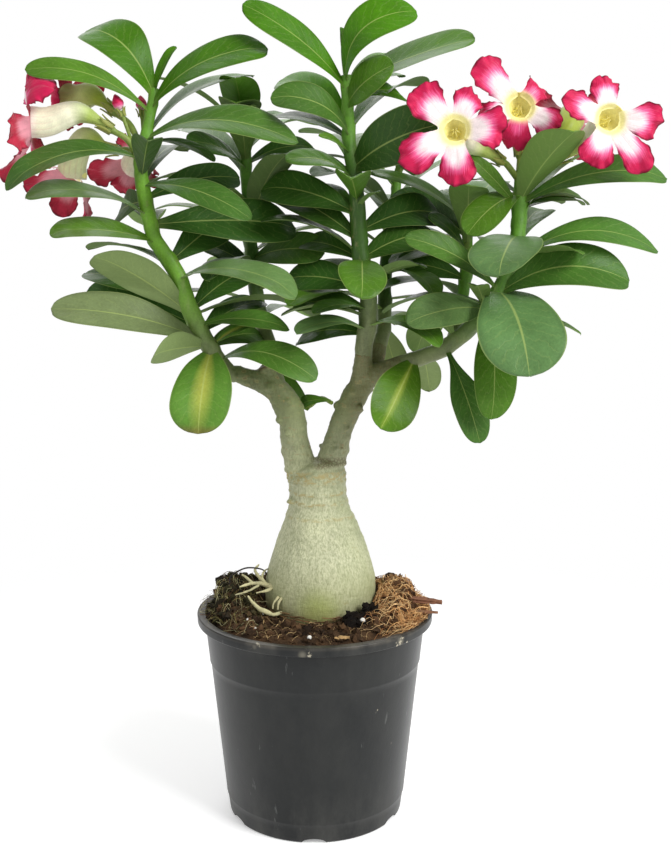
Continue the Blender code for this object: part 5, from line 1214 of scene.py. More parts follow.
def makeLowLeaf():
    shape = Gathered()
    for seed, part in ((3, "large"), (4, "small")):
        foot, tip, *rest = lowLeaf[part]
        addLeaf(shape, layLeaf(0, vec(foot), vec(tip), *rest), lowLeaf["green"], random.Random(seed))
    shape.addCurve(lowLeaf["stalk"], 1.5, 12, stalkShape["green"], 1)
    settle(shape.build("lowLeaf", [leafSkin, stemSkin]), "leaf_green", "leaf_low")


makeShoots()
makeLowLeaf()
print("shoots and leaves made")


# blooms and buds

corolla = {
    "throatRadius": 9, "startLean": 40, "twist": 14, "cup": 0.09, "sharpness": 2, "broadest": 0.66, "tip": 0.4,
    "footHalf": 4.2, "inset": (2, 1.2), "rows": 40, "columns": 31, "even": 0.3, "thickness": 0.42,
    "ruffles": ((3, 1.7), (7, 1.2), (13, 0.65), (21, 0.3)), "crease": 0.5, "ripple": 0.1, "ragged": 0.07,
    "redness": 0.6, "reddest": (-50, -120), "ringSpread": 41, "funnelFoot": (2.5, 6), "widening": 0.4,
    "bends": ((0.35, 0.4, 6.4), (0.75, 1, 8.2)), "sides": 40, "rib": 0.035, "wall": 0.45, "threads": 5,
    "thread": ((8.6, 2.6, 0.6), (6, 2.2, 0.5), (3, 1, 0.35)),  # depth in the throat, distance out and radius
    "bowlDepth": 8.5, "bowlRows": 12,
}


def bloomAxes(bloom):
    facing = unit(vec(bloom["facing"]))
    right = unit(np.cross((0, 0, 1), facing))
    return vec(bloom["throat"]), facing, right, np.cross(facing, right)


def addPetal(shape, bloom, petal, seed):
    throat, facing, right, over = bloomAxes(bloom)
    heading, length, width, lean = petal
    heading = radians(heading)
    outward = right * cos(heading) + over * sin(heading)
    uu, vv = bladeGrid(corolla)
    start = radians(corolla["startLean"])
    turn = radians(lean) - start
    now = start + turn * uu[..., None]
    inside, behind = corolla["inset"]
    out = corolla["throatRadius"] - inside + length * (np.sin(now) - sin(start)) / turn
    ahead = length * (cos(start) - np.cos(now)) / turn - behind
    tangent = outward * np.cos(now) + facing * np.sin(now)
    flat = np.cross(facing, outward)
    twist = radians(corolla["twist"]) * uu[..., None]
    across = flat * np.cos(twist) + np.cross(tangent, flat) * np.sin(twist)
    normal = np.cross(tangent, across)
    outline, beyond = bladeOutline(uu, corolla["footHalf"] / (width / 2), corolla["sharpness"], corolla)
    outline = outline * np.sqrt(np.clip(1 - beyond ** 5, 0.0006, 1))
    sideOf = 9 * (vv > 0) + seed
    ragged = np.array([[bumpAt((4.5 * a, b, 0), 1) for a, b in zip(*row)] for row in zip(uu, sideOf)])
    outline = outline * (1 + 4 * corolla["ragged"] * ragged * smoothStep(0.3, 0.7, uu))
    half = width / 2 * outline
    blade = throat + outward * out + facing * ahead + across * (vv * half)[..., None]
    blade = blade + normal * (-corolla["cup"] * half * vv * vv)[..., None]
    # the feet of the five petals share the throat's edge
    angle = heading + vv * radians(corolla["ringSpread"])
    onRing = right * np.cos(angle)[..., None] + over * np.sin(angle)[..., None]
    dip = 1 - smoothStep(0, 0.1, uu)
    ring = throat + onRing * (corolla["throatRadius"] - 0.6 - 1.5 * dip + 2.4 * uu)[..., None]
    ring = ring + facing * (0.2 - 1.8 * dip + 3 * uu)[..., None]
    middle = blend(ring, blade, smoothStep(0, 0.34, uu)[..., None])
    # ruffles grow towards the edge, all round it
    dice = random.Random(seed)
    theta = np.arctan2(vv * outline * width / 2, (uu - 0.5) * length)
    toEdge = 1 - (1 - np.abs(vv) ** 2.5) * (1 - smoothStep(0.5, 1, uu))
    ruffle = np.zeros_like(uu)
    for waves, size in corolla["ruffles"]:
        ruffle += size * np.sin(waves * theta + dice.uniform(0, 6.28)) * toEdge ** (1.2 + 0.12 * waves)
    ruffle *= width / 24 * smoothStep(0.12, 0.5, uu)
    crease = -corolla["crease"] * np.exp(-(vv / 0.12) ** 2) * smoothStep(0.1, 0.4, uu) * (1 - smoothStep(0.6, 1, uu))
    ripple = corolla["ripple"] * np.sin(26 * vv + 3 * uu + seed) * smoothStep(0.1, 0.4, uu)
    middle = middle + normal * (ruffle + crease + ripple)[..., None]
    thick = corolla["thickness"] / 2 * np.sqrt(np.clip(1 - np.abs(vv) ** 6, 0.12, 1)) * (1 - 0.35 * uu)
    thick = normal * thick[..., None]
    points, under, growth = twoSided(middle, thick, thick, uu, vv)
    # the tint's red and green shift the rays, and its blue reddens the petal
    own = (dice.uniform(0, 9), dice.uniform(0, 9), smoothStep(*corolla["reddest"], lean) * corolla["redness"])
    shape.addTube(points, own, under, 0, growth)


def funnelPath(bloom):
    throat, facing, _, _ = bloomAxes(bloom)
    before, calyx = (vec(point) for point in bloom["stalk"][-2:])
    leaving = unit(calyx - before)
    start = calyx + leaving * 0.3
    radius, length = corolla["funnelFoot"]
    bend = start + leaving * length
    span = float(np.linalg.norm(throat - bend))
    stations = [(*start, radius), (*bend, radius + corolla["widening"])]
    for (share, turned, wide), rise in zip(corolla["bends"], bloom.get("rise", ((0, 0, 0), (0, 0, 0)))):
        fromFoot, toThroat = bend + leaving * span * share, throat - facing * span * (1 - share)
        stations.append((*(blend(fromFoot, toThroat, turned) + np.array(rise)), wide))
    return curvePath(stations + [(*throat, corolla["throatRadius"])], 1.8)


def addFunnel(shape, bloom, seed):
    throat, facing, right, over = bloomAxes(bloom)
    path = funnelPath(bloom)
    sides = corolla["sides"]
    outer, centres = ringsAlong(path, sides), path[:, None, :3]
    # five soft ribs run up the tube
    rise = np.linspace(0, 1, len(path))
    swell = (smoothStep(0.2, 0.6, rise) * (1 - smoothStep(0.7, 0.95, rise)))[:, None, None]
    outer = centres + (outer - centres) * (1 + corolla["rib"] * np.cos(5 * around(sides) + seed)[None, :, None] * swell)
    # the inside is a shallow bowl
    toRim = outer[-1] - throat
    reach = np.linalg.norm(toRim, axis=-1, keepdims=True) - corolla["wall"]
    depth = np.sin(np.linspace(0, pi / 2, corolla["bowlRows"]))[:-1, None, None]
    bowl = throat - facing * corolla["bowlDepth"] * depth + unit(toRim) * reach * (1 - depth ** 1.5) ** 0.62
    growth = gridOf(np.concatenate([rise, 1 - depth[:, 0, 0]]), np.linspace(0, 1, sides + 1))
    under = np.concatenate([np.zeros(len(path)), np.ones(len(bowl))])[:, None] * np.ones((1, sides))
    bottom = tuple(throat - facing * corolla["bowlDepth"])
    points = np.concatenate([outer, bowl], axis=0)
    shape.addTube(points, (bloom.get("olive", 0), 0, 0), under, 1, growth, (None, bottom))
    # slender threads rise in the throat
    for k in range(corolla["threads"]):
        turn = 2 * pi * k / corolla["threads"] + seed
        out = right * cos(turn) + over * sin(turn)
        last = (1, 1 + 0.5 * sin(seed + k), 0.14)
        stations = [(*(throat - facing * deep + out * far), radius) for deep, far, radius in (*corolla["thread"], last)]
        thread = ringsAlong(curvePath(stations, 1.2), 7)
        shape.addTube(thread, (1, 1, 1), 1, 1, gridOf(np.full(len(thread), 0.95), np.full(8, 0.03)))


def makeBlooms():
    for k, (name, bloom) in enumerate(blooms.items()):
        shape = Gathered()
        addFunnel(shape, bloom, 0.7 * k)
        for i, petal in enumerate(bloom["petals"]):
            addPetal(shape, bloom, petal, 10 * k + i)
        settle(shape.build(pieceName(name), [petalSilk, funnelSkin]), "petal_pink", name)


budShape = {"length": 9.5, "radius": 2.8, "gap": 0.3, "sides": 30, "rows": 26, "spiral": 1.4, "fold": 0.13}


def makeBuds():
    for k, (name, points) in enumerate(buds.items()):
        before, end = (vec(point) for point in points[-2:])
        way = unit(end - before)
        across, over = ringAxes(np.array([end, end + way]))
        t = np.linspace(0.03, 0.985, budShape["rows"])[:, None]
        angle = around(budShape["sides"])[None]
        folds = np.abs(np.sin(2.5 * (angle + budShape["spiral"] * t * 2 + k))) * smoothStep(0.1, 0.5, t)
        full = budShape["radius"] * np.sin(pi * t) ** 0.62 * (1 - 0.45 * t) * 1.35 * (1 + budShape["fold"] * folds)
        rise = budShape["gap"] + budShape["length"] * t
        out = across[0] * np.cos(angle)[..., None] + over[0] * np.sin(angle)[..., None]
        shape = Gathered()
        # the map makes the foot pale and the tip crimson
        growth = gridOf(0.32 + 0.6 * t[:, 0], np.full(budShape["sides"] + 1, 0.5))
        shape.addTube(end + way * rise[..., None] + out * full[..., None], (3 + k, 1, 0.4), 0, 0, growth)
        settle(shape.build(pieceName(name), [petalSilk]), "petal_pink", name)


makeBlooms()
makeBuds()
print("blooms and buds made")


# trunk

trunk = {
    # height, centre x, radius
    "caudex": (
        (98, 3.5, 12), (104, 3.5, 20), (114, 3.5, 27.5), (126, 3.5, 33.6), (134, 3.5, 34.9), (142, 3.5, 35.2),
        (151, 3.7, 34.9), (159, 3.7, 33.4), (166, 3.6, 31.6), (174, 3.4, 28.8), (182, 3.2, 25.6), (190, 3, 22.2),
        (198, 2.8, 19.4), (207, 2.2, 18), (217, 1.8, 17.6), (223, 1.6, 17), (228, 1.5, 13),
    ),
    "limbs": (
        ((-4, 0, 208, 11.5), (-9, 0, 226, 9.4), (-12.5, 0, 241, 8.4), (-14, -1, 254, 8.3),
         (-18.5, -2, 265, 8.6), (-24.5, -3, 273.5, 8), (-35, -5, 278.5, 6.4), (-44, -6, 281.6, 5.6),
         (-49.5, -6.4, 283.6, 5.1)),
        ((-21, -2, 270, 6), (-25, 3, 281, 5.6), (-27.8, 9.5, 295, 5)),
        ((-24, -3, 276, 5), (-31, -5.5, 288, 4.4)),
        ((6, 0, 208, 11.5), (10, 0, 226, 9.2), (15, 0, 243, 8), (20, -1, 257, 7.9),
         (27, -2.5, 272, 7.9), (35, -4, 281, 6.6), (45, -6, 285.5, 5.7), (57.5, -8.4, 290.4, 5.2)),
        ((27, -3, 274, 6.4), (29.5, -7, 285, 6), (30.2, -9.8, 296.5, 5.5)),
        ((32, -2, 277, 5.8), (37.5, 4, 288, 5), (40.8, 9.7, 299.4, 4.6)),
    ),
    "knobs": (
        (14.5, -2, 263, 2.8), (-27, -11, 275, 3), (24, -9, 272, 2), (-17, -9, 246, 1.8), (13, -9, 236, 2),
        (33, -10, 282, 2.2), (28, -9, 262, 2.4), (-22, -6, 254, 2.2), (-15, -8, 203, 2.4),
    ),
    "voxel": 1, "unevenFrom": 150, "uneven": 0.9, "unevenSize": 26, "unevenRise": 12,
    # rings of old collars: height and reach
    "collars": ((226, 0.9), (219, 0.5), (215.5, 0.5), (208.5, 0.4), (202.5, 0.5), (193, 0.3)),
    "scarKnobs": 34, "scarSize": (1.5, 2.3), "sag": 4.5, "soiledBelow": 150, "wrinkledFrom": (155, 185),
}
surfaceRoots = {
    "paths": (
        ((-18.6, -21.2, 146, 2.2), (-24, -18, 149.5, 1.7), (-30.7, -14, 151, 1.5), (-39, -15, 152, 1),
         (-46.5, -19, 151, 0.5)),
        ((-20, -25.5, 146, 0.9), (-22, -27.5, 143, 0.7), (-22.5, -29, 139.5, 0.4)),
        ((-22, -25, 146.5, 0.9), (-25, -27, 143, 0.6), (-25.5, -29, 140, 0.35)),
        ((-30, -14.5, 151, 1.3), (-35, -8, 154, 1.2), (-38, -2, 157, 0.9), (-36, 3, 159, 0.5)),
        ((-39, -14.5, 152, 1), (-43, -9, 154, 0.8), (-46, -6, 155, 0.5)),
        ((-26, -17, 150, 1), (-30, -20.5, 149, 0.8), (-36, -22, 148, 0.5)),
        ((-30, -14.5, 151, 1), (-33, -10, 154, 0.9), (-32, -5, 157, 0.6), (-29, -1, 158, 0.4)),
        ((-35, -16, 151, 0.8), (-41, -21, 149, 0.7), (-49, -23, 147, 0.4)),
        ((-20, -27, 137, 1), (-25, -31, 137, 1.2), (-29.5, -33, 139.5, 1.6), (-34, -31, 141, 1.3),
         (-38, -28, 144, 1), (-41, -25, 147, 0.6)),
    ),
    "colour": paint(188, 182, 140),
}


def makeTrunk():
    shape = Gathered()
    shape.addCurve([(x, 0, z, radius) for z, x, radius in trunk["caudex"]], 2, 72, (1, 1, 1))
    for limb in trunk["limbs"]:
        shape.addCurve(limb, 2, 36, (1, 1, 1))
    ball = roundBall(3)
    for x, y, z, radius in trunk["knobs"]:
        shape.addClod(ball, (x, y, z), radius * 1.05, x, 0.25)
    # small knobs where leaves and twigs have gone
    dice = random.Random(17)
    for k in range(trunk["scarKnobs"]):
        path = curvePath(trunk["limbs"][(0, 3)[k % 2]], 2)
        x, y, z, radius = path[dice.randrange(len(path) // 4, len(path))]
        turn = dice.uniform(0, 2 * pi)
        at = (x + radius * cos(turn), y + radius * sin(turn), z)
        shape.addClod(ball, at, dice.uniform(*trunk["scarSize"]), k, 0.25, stretch=(1.2, 1.2, 0.7))
    rough = shape.build("trunkRough", [])
    remesh = rough.modifiers.new("skin", "REMESH")
    remesh.mode = "VOXEL"
    remesh.voxel_size = trunk["voxel"] * mm
    soften = rough.modifiers.new("soften", "SMOOTH")
    soften.factor, soften.iterations = 0.5, 5
    mesh = applied(rough)
    count = len(mesh.vertices)
    points, normals = np.empty(count * 3, np.float32), np.empty(count * 3, np.float32)
    mesh.vertices.foreach_get("co", points)
    mesh.vertex_normals.foreach_get("vector", normals)
    points, normals = points.reshape(-1, 3) / mm, normals.reshape(-1, 3)
    height = points[:, 2]
    push = np.zeros(count)
    for i, (x, y, z) in enumerate(points):
        above = smoothStep(trunk["unevenFrom"], trunk["unevenFrom"] + trunk["unevenRise"], z)
        swell = trunk["uneven"] * bumpAt((x, y, z), trunk["unevenSize"]) * above
        upright = noiseAt(x / 3.2, y / 3.2, z / 11) * 0.26
        small = noiseAt(x / 1.7, y / 1.7, z / 2.6) * 0.16
        wrinkle = noiseAt(x / 9, y / 9, z / 1.9) * 0.3
        lumps = noiseAt(x / 13 + 4, y / 13, z / 15) * 0.9
        push[i] = swell + upright + small + (wrinkle + lumps) * smoothStep(*trunk["wrinkledFrom"], z)
    for collar, reach in trunk["collars"]:
        above, below = (height - collar) / 1.1, (height - collar + 2.6) / 0.9
        push += reach * np.exp(-above ** 2) - 0.5 * reach * np.exp(-below ** 2)
    # the neck's top is lower at the left
    sag = trunk["sag"] * smoothStep(4, -12, points[:, 0]) * np.exp(-((height - 225) / 8) ** 2)
    # below the soil the caudex keeps clear of the hole's wall
    push = np.where(height < trunk["soiledBelow"], np.minimum(push, 0), push)
    points = points + normals * push[:, None] - sag[:, None] * np.array((0, 0, 1))
    mesh.vertices.foreach_set("co", (points * mm).astype(np.float32).ravel())
    mesh.materials.clear()
    mesh.materials.append(trunkBarkSkin)
    mesh.materials.append(rootSkin)
    mesh.shade_smooth()
    piece = placeThing("trunkBark", mesh)
    # pale roots that lie over the soil
    shape = Gathered()
    for k, path in enumerate(surfaceRoots["paths"]):
        points = ringsAlong(curvePath(path, 1.3), 12)
        wobble = np.array([[0.35 * bumpAt(p, 3, k) for p in ring] for ring in points])
        points = points + unit(points - points.mean(1, keepdims=True)) * wobble[..., None]
        shape.addTube(points, surfaceRoots["colour"], 0, 1)
    roots = shape.build("paleRoots", [trunkBarkSkin, rootSkin])
    joined = bmesh.new()
    joined.from_mesh(mesh)
    joined.from_mesh(roots.data)
    joined.to_mesh(mesh)
    joined.free()
    bpy.data.objects.remove(roots)
    settle(piece, "bark", "caudex_trunk")


makeTrunk()
print("trunk made")


# pot

pot = {
    "height": 131.2, "baseRadius": 57, "wallRadius": 70, "rimRadius": 75, "lip": 5.9, "wall": 1.6, "floor": 3.5,
    "bevel": 1.5, "rimRound": 0.9, "shoulder": 2, "steps": (12, 100), "step": 0.55, "stepSlope": 0.5,
    "sides": 144, "notches": 6, "notchWidth": 15, "notchHeight": 3, "notchStart": 42, "drainRadius": 3.5,
    "sharpAngle": 35,
    "colour": paint(25, 27, 27), "dust": paint(92, 91, 86), "rimDust": paint(104, 98, 88),
    "deposit": paint(190, 182, 160), "scuff": paint(92, 94, 92),
    # scale, stretch, threshold and offset: upright scuffs, then level ones
    "scuffs": ((150, 7, 0.66, 0), (190, 0.16, 0.71, 0.5)),
    # place and reach in metres, and share, of the pale deposits on the rim and of spots on the wall
    "deposits": (
        ((0.052, -0.054, 0.128), 0.011, 0.85), ((-0.006, -0.075, 0.127), 0.01, 0.7),
        ((-0.034, -0.066, 0.129), 0.006, 0.5), ((0.038, -0.054, 0.083), 0.004, 0.6),
        ((-0.012, -0.062, 0.034), 0.005, 0.55), ((0.047, -0.04, 0.058), 0.004, 0.5),
    ),
}


def wallRadius(height):
    top = pot["height"] - pot["lip"]
    radius = pot["baseRadius"] + (pot["wallRadius"] - pot["baseRadius"]) * height / top
    return radius - pot["step"] * sum(1 for step in pot["steps"] if height < step)


def arc(x, z, radius, first, last, count):
    return [(x + radius * cos(a), z + radius * sin(a)) for a in np.radians(np.linspace(first, last, count))]


def potSection():
    # half section: up the inside, over the rim and down the outside
    top, lip = pot["height"], pot["height"] - pot["lip"]
    wall, floor, rimRound, bevel = pot["wall"], pot["floor"], pot["rimRound"], pot["bevel"]
    inside, rim = pot["wallRadius"] - wall, pot["rimRadius"] - rimRound
    section = [(0.001, floor), (25, floor), (wallRadius(floor) - wall - 3, floor)]
    section += arc(wallRadius(floor) - wall - 3, floor + 3, 3, -90, 0, 6)
    section += [(wallRadius(h) - wall, h) for h in (20, 40, 60, 80, 99, 105, 115, lip - pot["shoulder"])]
    section += [(inside + 0.8, lip + 1.5), (inside + 0.9, top - 1.2)]
    section += arc(pot["wallRadius"] + 0.4, top - 1, 1, 170, 90, 5)
    section += arc(rim, top - rimRound, rimRound, 90, 0, 6)
    section += [(pot["rimRadius"] - 0.15, lip + 2.5)]
    section += arc(rim - 0.2, lip + rimRound, rimRound, 0, -90, 6)
    section += [(wallRadius(lip) + 0.8, lip), (wallRadius(lip), lip - 0.8)]
    for step in reversed(pot["steps"]):
        above, below = step + pot["stepSlope"], step - pot["stepSlope"]
        section += [(wallRadius(step + 6), step + 6), (wallRadius(step + 1) + 0.05, step + 1)]
        section += [(wallRadius(step) + 0.12, above), (wallRadius(step - 0.01), below)]
        section += [(wallRadius(step - 4), step - 4)]
        if step > 50:
            section += [(wallRadius(h), h) for h in (80, 60, 40, 24)]
    return section + arc(wallRadius(0) - bevel, bevel, bevel, 0, -90, 5) + [(40, 0), (20, 0), (0.001, 0)]


def makePotPlastic():
    net = newMaterial("potPlastic", SpecularIORLevel=0.28)
    place = net.place()
    z = net.parts(place)[2]
    net.colour, _ = net.mottle(pot["colour"], 20, 300, 0.22)
    # dust gathers low on the wall and under the rim, and on the rim
    dusty = net.worn(38, 0.4, 0.3, 2.2)
    dust = net.times(dusty, net.plus(net.spread(z, 0, 0.04, 0.45, 0.1), net.spread(z, 0.118, 0.129, 0, 0.35)))
    net.stain(pot["dust"], dust)
    net.stain(pot["rimDust"], net.times(net.spread(z, 0.1285, 0.1305), net.spread(dusty, 0.1, 0.7, 0.15, 0.5)))
    for scale, stretch, threshold, offset in pot["scuffs"]:
        net.stain(pot["scuff"], net.worn(scale, threshold, 0.03, stretch, offset), 0.5)
    spots = net.plus(net.worn(230, 0.6, 0.03, 1, 0.9), 0.35)
    for at, reach, share in pot["deposits"]:
        near = net.times(net.fade(net.distance(place, at), 0, reach), spots)
        net.stain(pot["deposit"], net.spread(near, 0.25, 0.5), share)
    relief = net.total((net.grain(800), 0.12), (net.grain(30), 0.9))
    return net.finish(net.plus(net.times(dust, 0.5), 0.31), relief, 0.0008, 0.35)


def makePot():
    rings = [[(r * cos(a), r * sin(a), z) for a in around(pot["sides"])] for r, z in potSection()]
    shape = Gathered()
    shape.addTube(np.array(rings))
    shell = shape.build("potShell", [makePotPlastic()], pot["sharpAngle"])
    notches, drains = Gathered(), Gathered()
    up = np.array((0, 0, 1))
    arch = np.linspace(0, 2 * pi, 24, endpoint=False)
    for k in range(pot["notches"]):
        heading = radians(k * 360 / pot["notches"] - 90)
        away = np.array((cos(heading), sin(heading), 0))
        side = np.array((-away[1], away[0], 0))
        loop = [side * (pot["notchWidth"] / 2) * cos(a) + up * pot["notchHeight"] * sin(a) for a in arch]
        notches.addTube(np.array([np.array(loop) + away * reach for reach in (pot["notchStart"], 50, 66)]))
        centre = away * (pot["notchStart"] + pot["drainRadius"] + 1)
        circle = np.array([away * cos(a) + side * sin(a) for a in arch]) * pot["drainRadius"]
        drains.addTube(np.array([circle + centre + np.array((0, 0, h)) for h in (1.5, 5.5)]))
    cutters = [notches.build("notchCutter", []), drains.build("drainCutter", [])]
    for cutter in cutters:
        cut = shell.modifiers.new(cutter.name, "BOOLEAN")
        cut.operation, cut.solver, cut.object = "DIFFERENCE", "EXACT", cutter
    mesh = applied(shell)
    mesh.shade_smooth()
    mesh.set_sharp_from_angle(angle=radians(pot["sharpAngle"]))
    for cutter in cutters:
        bpy.data.objects.remove(cutter)
    settle(placeThing("potShell", mesh), "pot_plastic", "pot")


makePot()
print("pot made")


# soil and what lies on it

soil = {
    "level": 132, "edgeBelowRim": 1.5, "lump": 2.2, "lumpSize": 9, "holeX": 3.5, "holeRadius": 35.6,
    "inside": 66,  # what lies further out rests on the rim
    # x, y, height and spread of each mound
    "mounds": (
        (50, 3, 14, 17), (-52, 4, 15, 16), (33, -27, -5, 6), (4, 50, 9, 22), (-28, 36, 5, 14), (38, -36, 4, 15),
        (-42, -30, 3, 14),
    ),
    "sides": 300, "rings": 40, "crumb": 1.5, "crumbSize": 2.6,
    "dark": paint(30, 22, 15), "brown": paint(92, 68, 46), "orange": paint(88, 60, 38), "moss": paint(62, 66, 34),
    "hollow": (31, -28, 9),  # a hollow in front of the caudex, with painted shade: the soil darkens towards it; x, y and reach
    "holeWall": ((35.6, 128), (35.1, 126), (29, 114), (21.5, 104), (13.5, 98)),  # radius and height
}


def fromHole(x, y):
    return hypot(x - soil["holeX"], y)


def fromHollow(x, y):
    hollowX, hollowY, _ = soil["hollow"]
    return hypot(x - hollowX, y - hollowY)


def soilHeight(x, y):
    height = soil["level"]
    for moundX, moundY, rise, wide in soil["mounds"]:
        height += rise * exp(-((x - moundX) ** 2 + (y - moundY) ** 2) / (2 * wide ** 2))
    return height + soil["lump"] * noiseAt(x / soil["lumpSize"], y / soil["lumpSize"], 0.5)


def coirShare(x, y):
    # how much of the soil is orange coir: all of it at the right
    return smoothStep(34, 48, x - 0.15 * y) * smoothStep(-52, -30, y)


def soilTint(x, y, seed):
    moss = np.array(soil["moss"])
    colour = blend(soil["dark"], soil["brown"], 0.5 + 0.5 * noiseAt(x / 7, y / 7, seed))
    mossy = smoothStep(0.15, 0.45, noiseAt(x / 14 + 3, y / 14, 7)) * smoothStep(-20, -35, x)
    colour = colour * (1 - 0.55 * mossy) + moss * 0.55 * mossy
    # painted shade: the soil's colour darkens towards the hollow in front of the caudex
    lit = 0.25 + 0.75 * smoothStep(0.4, 1.2, fromHollow(x, y) / soil["hollow"][2])
    return blend(colour, soil["orange"], coirShare(x, y)) * lit


def surfacePoint(x, y):
    # the finished ground, with its crumbs
    height, size = soilHeight(x, y), soil["crumbSize"]
    crumbs = soil["crumb"] * (noiseAt(x / size, y / size, 3) + 0.5 * noiseAt(x / 1.4, y / 1.4, 9))
    radius = hypot(x, y)
    if radius > 62:
        keep = smoothStep(62, 66.5, radius)
        height = blend(height, min(height, pot["height"] - soil["edgeBelowRim"]), keep)
        crumbs *= 1 - keep
    return height + crumbs


def makeSoil():
    angle = around(soil["sides"])
    floor = pot["floor"] + 0.3
    edge = pot["wallRadius"] - pot["wall"] - 0.3 - 0.8
    rings, tints = [], []

    def addRing(radius, height, centre=0):
        rings.append([(centre + radius * cos(a), radius * sin(a), height) for a in angle])
        tints.append([soil["dark"]] * soil["sides"])

    addRing(wallRadius(floor) - pot["wall"] - 3.3, floor)
    addRing(wallRadius(floor + 3) - pot["wall"] - 0.3, floor + 3)
    addRing(wallRadius(60) - pot["wall"] - 0.3, 60)
    for k in range(soil["rings"] + 1):
        share = k / soil["rings"]
        radius = edge + (soil["holeRadius"] - edge) * share
        level = [(soil["holeX"] * share + radius * cos(a), radius * sin(a)) for a in angle]
        rings.append([(x, y, surfacePoint(x, y)) for x, y in level])
        tints.append([soilTint(x, y, 1.5) for x, y in level])
    for radius, height in soil["holeWall"]:
        addRing(radius, height, soil["holeX"])
    shape = Gathered()
    shape.addTube(np.array(rings), np.array(tints), tips=((0, 0, floor), (soil["holeX"], 0, 97.7)))
    settle(shape.build("soilMix", [pottingMix]), "potting_soil", "soil")


clods = {
    "count": 1500, "size": (0.5, 3), "fineBelow": 1.5, "coirCount": 150, "coirSize": (1.4, 4.2), "rough": 1.2,
    "heapCount": 150, "heapSize": (1, 3.2), "heapAt": (-54, -4), "heapReach": (8, 17), "mossy": 0.35,
    # a pile of clods against the caudex, at the front right, painted near black as shade: heading round it, distance,
    # height and size
    "pileCount": 80, "pileHeading": (-68, -36), "pileAway": (40, 51), "pileHeight": (134, 143), "pileSize": (2, 3.6),
    "heapStretch": (1, 0.9, 0.8),
}


def makeClods():
    dice = random.Random(21)
    ball, fine = roundBall(2), roundBall(1)
    shape = Gathered()

    def between(limits, power):
        low, high = limits
        return low + (high - low) * dice.random() ** power

    for k in range(clods["count"]):
        turn = dice.uniform(0, 2 * pi)
        radius = sqrt(dice.uniform(37.5 ** 2, 66 ** 2))
        x, y = 1.5 + radius * cos(turn), radius * sin(turn)
        size = between(clods["size"], 2.2)
        if coirShare(x, y) > 0.6 or hypot(x, y) > 67 - size or fromHole(x, y) < 36.5 + size:
            continue
        tint = soilTint(x, y, 4 + k) * dice.uniform(0.5, 1.7)
        lump = fine if size < clods["fineBelow"] else ball
        at = (x, y, surfacePoint(x, y) + 0.25 * size)
        shape.addClod(lump, at, size, 0.37 * k + 1, clods["rough"], tint, (1, 0.85, 0.7))
    # larger dark clods heaped at the left
    for k in range(clods["heapCount"]):
        x, y = (at + reach * dice.gauss(0, 1) for at, reach in zip(clods["heapAt"], clods["heapReach"]))
        size = between(clods["heapSize"], 1.5)
        if hypot(x, y) > 69 - 0.6 * size or fromHole(x, y) < 37 + size:
            continue
        tint = blend(soil["dark"], soil["moss"], clods["mossy"] * dice.random()) * dice.uniform(0.7, 1.9)
        at = (x, y, surfacePoint(x, y) + dice.uniform(0.2, 1.6) * size)
        shape.addClod(ball, at, size, 0.61 * k + 3, 1.1, tint, clods["heapStretch"])
    for k in range(clods["pileCount"]):
        turn = radians(dice.uniform(*clods["pileHeading"]))
        away, size = dice.uniform(*clods["pileAway"]), dice.uniform(*clods["pileSize"])
        low, high = clods["pileHeight"]
        height = low + (high - low) * dice.random() * (52 - away) / 12
        at = (soil["holeX"] + away * cos(turn), away * sin(turn), height)
        # painted shade: the pile's clods are near black, beside the dark hollow by the caudex
        tint = np.array(soil["dark"]) * dice.uniform(0.35, 0.9)
        shape.addClod(ball, at, min(size, away - 37.3), 0.47 * k + 2, 1.1, tint, clods["heapStretch"])
    settle(shape.build("soilCrumbs", [pottingMix]), "potting_soil")
    shape = Gathered()
    for k in range(clods["coirCount"]):
        x, y = 53 + dice.gauss(0, 8.5), 1 + dice.gauss(0, 19)
        size = between(clods["coirSize"], 1.6)
        if hypot(x, y) > 69.5 - 0.4 * size or fromHole(x, y) < 37.5 + size:
            continue
        # the lumps keep their own brown, darkened as painted shade in the gaps under the golden fibres
        tint = blend(soil["orange"], soil["brown"], 0.25) * dice.uniform(0.4, 1.1)
        ground = max(surfacePoint(x, y), 131.5 if hypot(x, y) > soil["inside"] else 0)
        shape.addClod(ball, (x, y, ground + 0.3 * size), size, 0.53 * k + 2, 0.9, tint, (1.25, 0.8, 0.6))
    settle(shape.build("coirLumps", [pottingMix]), "potting_soil")


fibres = {
    "coir": 1000, "ground": 560, "heap": 620, "length": (12, 42), "curl": 3.6, "sides": 4,
    "thick": (0.1, 0.27), "thin": (0.07, 0.2),  # radii
    "golden": (paint(244, 204, 146), paint(216, 164, 104), paint(150, 100, 58)),
    "litter": (paint(216, 182, 128), paint(120, 88, 56), paint(70, 50, 34)),
    "roots": (paint(190, 184, 138), paint(138, 128, 74), paint(84, 66, 42), paint(104, 74, 48)),
    # the black wire-like root that arcs behind the pale one
    "wire": ((-54, -7.5, 149, 0.5), (-53, -6, 154, 0.5), (-47, -3.5, 157.5, 0.5), (-41.3, -2.1, 158.5, 0.5),
             (-33, -2, 157, 0.45), (-29, -4, 152, 0.4)), "wirePaint": paint(34, 28, 24),
    "bandCount": 46, "bandPaint": paint(122, 92, 58), "bandRadius": 36.2, "bandHeight": 134.5,
}


